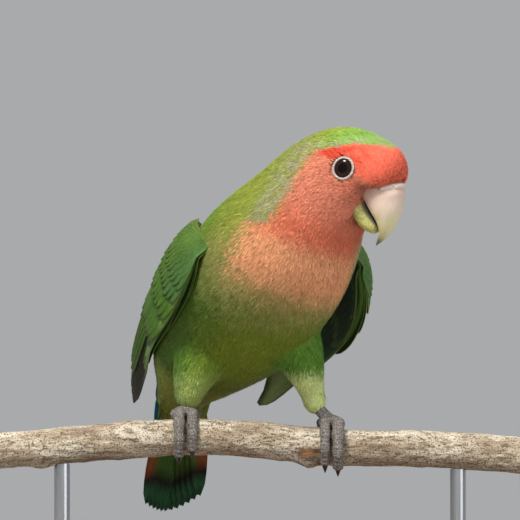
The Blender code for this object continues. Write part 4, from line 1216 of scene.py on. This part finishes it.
def buildWing(name, material):
    grid, normals = wingSurface(wings[name])
    vanes = Vanes()
    inner = np.tile(np.repeat([0.0, 1.0], vaneLook["sides"]), vaneLook["steps"])  # the face below
    for below, tiers in ((1, wings["tiers"]), (-1, wings["underTiers"])):
        for count, root, tipEdge, tipBack, low, high, *rest in tiers:
            for k in range(count):
                part = k / (count - 1)
                across = low + (high - low) * part
                tip = tipEdge + (tipBack - tipEdge) * part + rng.normal(0, 0.006)
                vane = wingVane(grid, normals, below, root, tip, across, *rest)
                colour = wingColour(rest[-1], vane[2], vane[3] * below, across) * rng.normal(1, 0.06)
                vanes.put(vane, tint(colour, wings["pale"], 0.85 * inner) if below > 0 else colour)
    vanes.make("wing_%s_feathers" % name, material, "wing_" + name)
    buildLining(name, grid, normals, material)


tailLook = {
    "pairs": 6,
    "width": 5.6,
    "spread": 4.6,
    "offset": 4.8,
    "step": 0.42,
    "graduation": 0.12,
    "tilt": 0.5,
    "camber": 0.3,
    "middle": (linear(58, 108, 48), linear(52, 110, 70)),  # root and tip
    "outer": (linear(72, 108, 46), linear(150, 84, 44), linear(28, 30, 26), linear(56, 110, 76)),
    "coverts": (  # count, root, tip, lift, half span, width, colour
        (7, 0.1, 1.55, 4.0, 6.4, 5.6, linear(44, 134, 190)),
        (7, 0.5, 2.35, 2.6, 6.0, 5.8, linear(52, 138, 168)),
        (7, 0.1, 1.5, -4.4, 6.2, 5.6, linear(142, 154, 76)),
        (7, 0.5, 2.2, -2.9, 5.8, 5.8, linear(126, 142, 66)),
    ),
    "core": ((0.1, 8.4, 7.0), (0.55, 8.3, 5.6), (1.1, 7.4, 3.6), (1.6, 5.8, 2.0), (1.95, 3.8, 0.9)),
}


def tailVane(root, tip, offset, spread, liftRoot, liftTip, width, hand):
    middles, sides, outs = [], [], []
    for t in np.linspace(0, 1, vaneLook["steps"]):
        middle, _, side, normal = tailFrame(root + (tip - root) * t)
        middles.append(middle + side * (offset + spread * t) + normal * (liftRoot + (liftTip - liftRoot) * t))
        sides.append(side * hand)
        outs.append(normal)
    return vanePiece(middles, sides, outs, tipShape(width), tailLook["tilt"], tailLook["camber"])


def tailColour(part, cross, outerPart):
    central = tint(*tailLook["middle"], soft(part, 0.5, 1.0))
    base, patch, band, tip = tailLook["outer"]
    colour = tint(base, patch, soft(part, 0.34, 0.46) * soft(cross, -0.6, 0.2))
    colour = tint(colour, band, soft(part, 0.72, 0.76))
    colour = tint(colour, tip, soft(part, 0.86, 0.9))
    return mix(central, colour, float(soft(outerPart, 0.12, 0.3)))


def buildTail(material):
    vanes = Vanes()
    for hand in (-1, 1):
        for k in range(tailLook["pairs"]):
            outerPart = (k + 0.5) / tailLook["pairs"]
            lift = 1.3 - tailLook["step"] * k * 1.3 - (0.25 if hand < 0 else 0.0)
            end = (len(tail["line"]) - 1) * (1 - tailLook["graduation"] * outerPart ** 1.5)
            offset, spread = (hand * outerPart * tailLook[name] for name in ("offset", "spread"))
            vane = tailVane(0.7, end, offset, spread, lift * 0.5, lift, tailLook["width"], hand)
            vanes.put(vane, tailColour(vane[2], vane[3], outerPart))
    for count, root, tip, lift, span, width, colour in tailLook["coverts"]:
        for k in range(count):
            part = 2 * k / (count - 1) - 1
            height = lift - (1 if lift > 0 else -1) * 1.1 * abs(part) + 0.12 * (k % 2)
            lifts = (height * 0.9, height * 0.75)
            vane = tailVane(root, tip - 0.25 * abs(part), part * span, -part, *lifts, width, 1)
            vanes.put(vane, colour * (0.72 + 0.34 * vane[2] + 0.10 * np.abs(vane[3]))[:, None])
    vanes.make("tail_feathers", material, "tail")
    angles = circle(32)
    rings = []
    for at, wide, high in tailLook["core"]:
        middle, _, side, normal = tailFrame(at)
        rings.append(middle + np.outer(np.cos(angles) * high, normal) + np.outer(np.sin(angles) * wide, side))
    buildCore("tail_root", rings, material,
              lambda points: tint(linear(110, 122, 58), linear(40, 110, 150), points @ (0, 0.6, 0.8) > 36))


# Feet

feet = {
    "perchRadius": 5.6,
    "gap": 0.3,
    "toes": {  # place along the perch, first and last angle round it, half width
        "right": ((-24.5, 25.0, 112.0, 1.75), (-20.5, 25.0, 98.0, 1.6),
                  (-25.4, -26.0, -104.0, 1.6), (-19.8, -26.0, -90.0, 1.5)),
        "left": ((19.7, 25.0, 110.0, 1.6), (23.6, 25.0, 118.0, 1.85),
                 (18.8, -26.0, -92.0, 1.5), (24.0, -26.0, -104.0, 1.6)),
    },
    "toeRings": (66, 18),
    "clawRings": (24, 16),
    "taper": 0.78,
    "joints": 3,
    "jointRise": 0.16,
    "scutes": 13,
    "scuteRise": 0.10,
    "fuller": 1.14,
    "further": 20.0,  # degrees that a toe goes past the start of the claw in the solids
    "clawTurn": 36.0,
    "clawRadius": 1.05,
    "clawLift": 1.6,
    "clawTaper": ((0, 0.15, 0.4, 0.65, 0.85, 1), (0.8, 1.0, 0.85, 0.6, 0.34, 0.08)),
}
perch = {
    "line": ((-105.0, -4.4), (-78.8, -3.3), (-60.6, -1.8), (-42.4, -0.3), (-24.2, 0.8), (-3.0, 0.2),
             (12.1, -1.3), (27.3, -2.5), (42.4, -2.6), (60.6, -3.3), (78.8, -4.8), (105.0, -6.6)),
    # place along the perch, angle round it and height
    "knots": ((14.5, 0.3, 1.5), (-66.0, 0.0, 1.2), (47.0, 2.4, 0.7), (-40.0, 3.6, 0.7)),
    "knotWide": 3.2,
    "half": 86.0,
    "radius": 5.6,
    "rows": 420,
    "points": 60,
    "scar": (14.8, -4.2, -4.0),
    "scarSize": (3.0, 2.2, 1.6),
}


def perchMiddle(x):
    row = np.array([p[0] for p in perch["line"]])
    low = int(np.clip(np.searchsorted(row, x) - 1, 0, len(row) - 2))
    part = (x - row[low]) / (row[low + 1] - row[low])
    return np.array([x, 0.0, spline(np.array(perch["line"]), low + part)[0][1]])


def toeLine(toe, first, last, rows, lift=0.0):
    reach = feet["perchRadius"] + feet["gap"] + toe[3] + 0.25
    turns = np.radians(np.linspace(first, last, rows))
    rise = (reach + lift * np.linspace(0, 1, rows) ** 2)[:, None]
    return perchMiddle(toe[0]) + rise * np.stack([0 * turns, -np.sin(turns), np.cos(turns)], axis=1)


def footScales():
    scales = Paint("footScales", Roughness=0.62)
    plates = scales.cells(2100)
    small = scales.noise(2600, 3.0)
    tone = scales.blend(scales.range(plates, 0.05, 0.55), linear(178, 172, 164), linear(92, 86, 82))
    tone = scales.blend(0.3 * small, tone, linear(84, 78, 74))
    rough = scales.range(small, 0.3, 0.7, 0.5, 0.75)
    height = plates * -0.8 + small * 0.4
    return scales.use(Base_Color=tone, Roughness=rough, Normal=scales.bump(height, 0.00028))


def clawHorn():
    horn = Paint("clawHorn", Roughness=0.34, Coat_Weight=0.2)
    part, _, _ = horn.parts(horn.attribute("vane"))
    streak = horn.noise(2400, 3.0)
    stops = [(0.0, linear(96, 86, 76)), (0.35, linear(54, 48, 44)), (1.0, linear(30, 27, 26))]
    return horn.use(Base_Color=horn.ramp(part + 0.15 * streak, stops), Normal=horn.bump(streak, 0.00008))


def buildToe(toe, number, material):
    rows, sides = feet["toeRings"]
    sign = 1 if toe[1] > 0 else -1
    line = toeLine(toe, toe[1] - sign * 3, toe[2] + (feet["further"] if sign > 0 else 0.0), rows)
    t = np.linspace(0, 1, rows)
    swell = 1 + feet["jointRise"] * (np.cos(t * 2 * np.pi * feet["joints"]) - 1) / 2
    radii = toe[3] * feet["fuller"] * (1 + (feet["taper"] - 1) * t) * swell
    rings = tubeRings(line, radii, sides, (1, 0, 0))
    middle = line[:, None]
    away = unit(line - perchMiddle(toe[0]))
    face = np.einsum("rpk,rk->rp", rings - middle, away) / radii[:, None]
    scute = np.abs(np.sin(t * np.pi * feet["scutes"])) ** 0.5 - 0.75
    thicker = 1 + feet["scuteRise"] * scute[:, None] * soft(face, 0.0, 0.8)
    rings = middle + (rings - middle) * thicker[..., None]
    rings += 0.05 * ripple(rings, 1.6)[..., None] * unit(rings - middle)
    end = line[-1] + unit(line[-1] - line[-2]) * radii[-1] * 0.2
    closedPiece("toe_%s_scaled" % number, *ringLoft(rings, (None, end)), material, "toe_" + number)


def buildClaw(toe, number, material):
    rows, sides = feet["clawRings"]
    sign = 1 if toe[1] > 0 else -1
    start = toe[2] + sign * 2.4
    past = feet["further"] if sign > 0 else 0.0
    line = toeLine(toe, start + past - sign * 4.0, start + sign * feet["clawTurn"], rows, feet["clawLift"])
    t = np.linspace(0, 1, rows)
    radii = feet["clawRadius"] * np.interp(t, *feet["clawTaper"])
    along = np.append(np.repeat(t, sides), (0, 1))
    points, faces = ringLoft(tubeRings(line, radii, sides, (1, 0, 0)))
    closedPiece("claw_%s_horn" % number, points, faces, material, "claw_" + number, vanes=along[:, None])


def buildFeet():
    scales, horn = footScales(), clawHorn()
    for name, toes in feet["toes"].items():
        for i, toe in enumerate(toes):
            buildToe(toe, "%s_%d" % (name, i + 1), scales)
            buildClaw(toe, "%s_%d" % (name, i + 1), horn)
        dress(nodes["foot_" + name], scales)


# Perch, stand and stage

def barkPaint():
    bark = Paint("barkPale", Roughness=0.86)
    _, scarMark, _ = bark.parts(bark.attribute("vane"))
    broad = bark.noise(160, 5.0, (0.30, 1.0, 1.0))
    flakes = bark.noise(900, 6.0, (0.30, 1.0, 1.0), 0.65)
    specks = bark.noise(2100, 4.0, roughness=0.6)
    pores = bark.cells(760, (0.45, 1.0, 1.0))
    tone = bark.ramp(broad, [
        (0.34, linear(142, 124, 102)), (0.48, linear(176, 160, 136)), (0.62, linear(206, 196, 176))])
    for mask, low, high, strength, colour in (
        (flakes, 0.50, 0.62, 0.8, linear(112, 92, 72)),
        (flakes, 0.40, 0.34, 0.8, linear(222, 214, 200)),
        (specks, 0.53, 0.60, 0.9, linear(62, 50, 42)),
        (pores, 0.22, 0.12, 0.75, linear(84, 66, 52)),
        (scarMark, 0.12, 0.3, 0.75, linear(92, 66, 46)),
        (scarMark + 1.6 * flakes, 1.25, 1.5, 0.8, linear(168, 110, 66)),
    ):
        tone = bark.blend(bark.range(mask, low, high, 0.0, strength), tone, colour)
    height = broad * 0.5 + flakes * 0.8 - bark.range(pores, 0.16, 0.06) * 0.3 + specks * 0.25
    rough = bark.range(flakes, 0.3, 0.7, 0.76, 0.95)
    return bark.use(Base_Color=tone, Roughness=rough, Normal=bark.bump(height, 0.0008))


def buildPerch():
    angles = circle(perch["points"])
    around = np.stack([np.zeros_like(angles), np.sin(angles), np.cos(angles)], axis=1)
    rings = []
    for x in np.linspace(-perch["half"], perch["half"], perch["rows"]):
        radius = perch["radius"] + 0.12 * math.sin(x * 0.11) + 0.08 * math.sin(x * 0.31 + 1.0)
        bump = np.zeros(len(angles))
        for spot, turn, rise in perch["knots"]:
            near = np.exp(-((x - spot) / perch["knotWide"]) ** 2)
            bump += rise * near * np.maximum(np.cos(angles - np.pi - turn), 0) ** 4
        rings.append(perchMiddle(x) + (radius + bump)[:, None] * around)
    rings = np.array(rings)
    away = unit(rings - rings.mean(axis=1, keepdims=True))
    stretched = rings * np.array([0.22, 1.0, 1.0])
    rough = 0.16 * ripple(stretched, 3.4) + 0.10 * ripple(stretched + 30, 1.5) + 0.05 * ripple(rings, 1.1)
    crack = -0.30 * soft(ripple(stretched * np.array([0.5, 1, 1]) + 9, 2.6), 0.75, 1.1)
    points, faces = ringLoft(rings + away * (rough + crack - 0.12)[..., None])
    scar = np.exp(-(np.linalg.norm((points - perch["scar"]) / perch["scarSize"], axis=1)) ** 2)
    vanes = np.column_stack([np.zeros_like(scar), scar])
    closedPiece("perch_bark", points, faces, barkPaint(), "perch_branch", vanes=vanes)


def standWood():
    wood = Paint("standWood", Roughness=0.42, Coat_Weight=0.15, Coat_Roughness=0.3)
    grain = wood.noise(26, 6.0, (1.0, 9.0, 9.0), 0.6)
    pores = wood.noise(420, 3.0, (0.12, 1.0, 1.0))
    stops = [(0.25, linear(70, 44, 28)), (0.5, linear(104, 68, 42)), (0.75, linear(132, 90, 58))]
    tone = wood.ramp(grain, stops)
    tone = wood.blend(wood.range(pores, 0.6, 0.72, 0.0, 0.6), tone, linear(44, 28, 18))
    rough = wood.range(pores, 0.3, 0.7, 0.36, 0.52)
    return wood.use(Base_Color=tone, Roughness=rough, Normal=wood.bump(pores, 0.00006))


def standSteel():
    steel = Paint("standSteel", Metallic=1.0, Roughness=0.3)
    brushed = steel.noise(700, 3.0, (1.0, 1.0, 0.04))
    tone = steel.blend(brushed, linear(150, 152, 156), linear(196, 198, 200))
    return steel.use(Base_Color=tone, Roughness=steel.range(brushed, 0.3, 0.7, 0.22, 0.38))


def buildStand():
    dress(nodes["stand_base"], standWood())
    steel = standSteel()
    for name in ("stand_rod_left", "stand_rod_right"):
        dress(nodes[name], steel)


def put(name, data, spot, turn):  # a lamp or the camera
    obj = bpy.data.objects.new(name, data)
    obj.location = spot
    obj.rotation_euler = turn
    bpy.context.scene.collection.objects.link(obj)
    return obj


def buildStage():
    size, sides = world["floorSize"], 96
    mesh = bpy.data.meshes.new("floor")
    corners = [(size * math.cos(a), size * math.sin(a), world["floorDrop"]) for a in circle(sides)]
    mesh.from_pydata(corners, [], [tuple(range(sides))])
    floor = bpy.data.objects.new("floor", mesh)
    bpy.context.scene.collection.objects.link(floor)
    paper = Paint("palePaper", Roughness=0.85)
    tone = paper.blend(paper.noise(60, 3.0), (0.36, 0.36, 0.355), (0.38, 0.38, 0.375))
    mesh.materials.append(paper.use(Base_Color=tone))
    sky = bpy.data.worlds.new("studio")
    sky.use_nodes = True
    ground = sky.node_tree.nodes["Background"]
    ground.inputs[0].default_value = (*world["sky"], 1.0)
    ground.inputs[1].default_value = world["skyStrength"]
    bpy.context.scene.world = sky
    aim = Vector(place(world["lightsAim"]))
    for name, spot, wide, power, colour in world["lights"]:
        light = bpy.data.lights.new(name, "AREA")
        light.shape = "DISK"
        light.size = wide
        light.energy = power
        light.color = colour
        put(name, light, spot, (aim - Vector(spot)).to_track_quat("-Z", "Y").to_euler())
    camera = bpy.data.cameras.new("camera")
    camera.lens = world["lens"]
    camera.sensor_width = world["sensor"]
    camera.clip_end = world["sight"]
    far = world["frameWidth"] * 0.001 * world["lens"] / world["sensor"]
    target = place((0.0, 0.0, world["aimHeight"]))
    spot = (target[0], target[1] - far, target[2])
    bpy.context.scene.camera = put("camera", camera, spot, (math.radians(90), 0, 0))
    bpy.context.scene.view_settings.view_transform = "Standard"


print("stage")
buildStage()
print("stand and perch")
buildStand()
buildPerch()
print("bill and eyes")
billParts = [billPiece("upper", upperHorn()), billPiece("lower", lowerHorn()), buildCere()]
buildEyes()
print("feet")
buildFeet()
print("wings and tail")
vaneMaterial = vanePaint()
for wingName in ("right", "left"):
    buildWing(wingName, vaneMaterial)
buildTail(vaneMaterial)
print("skin")
skinPiece = buildSkin()
print("coat")
buildCoat(skinPiece, billParts)
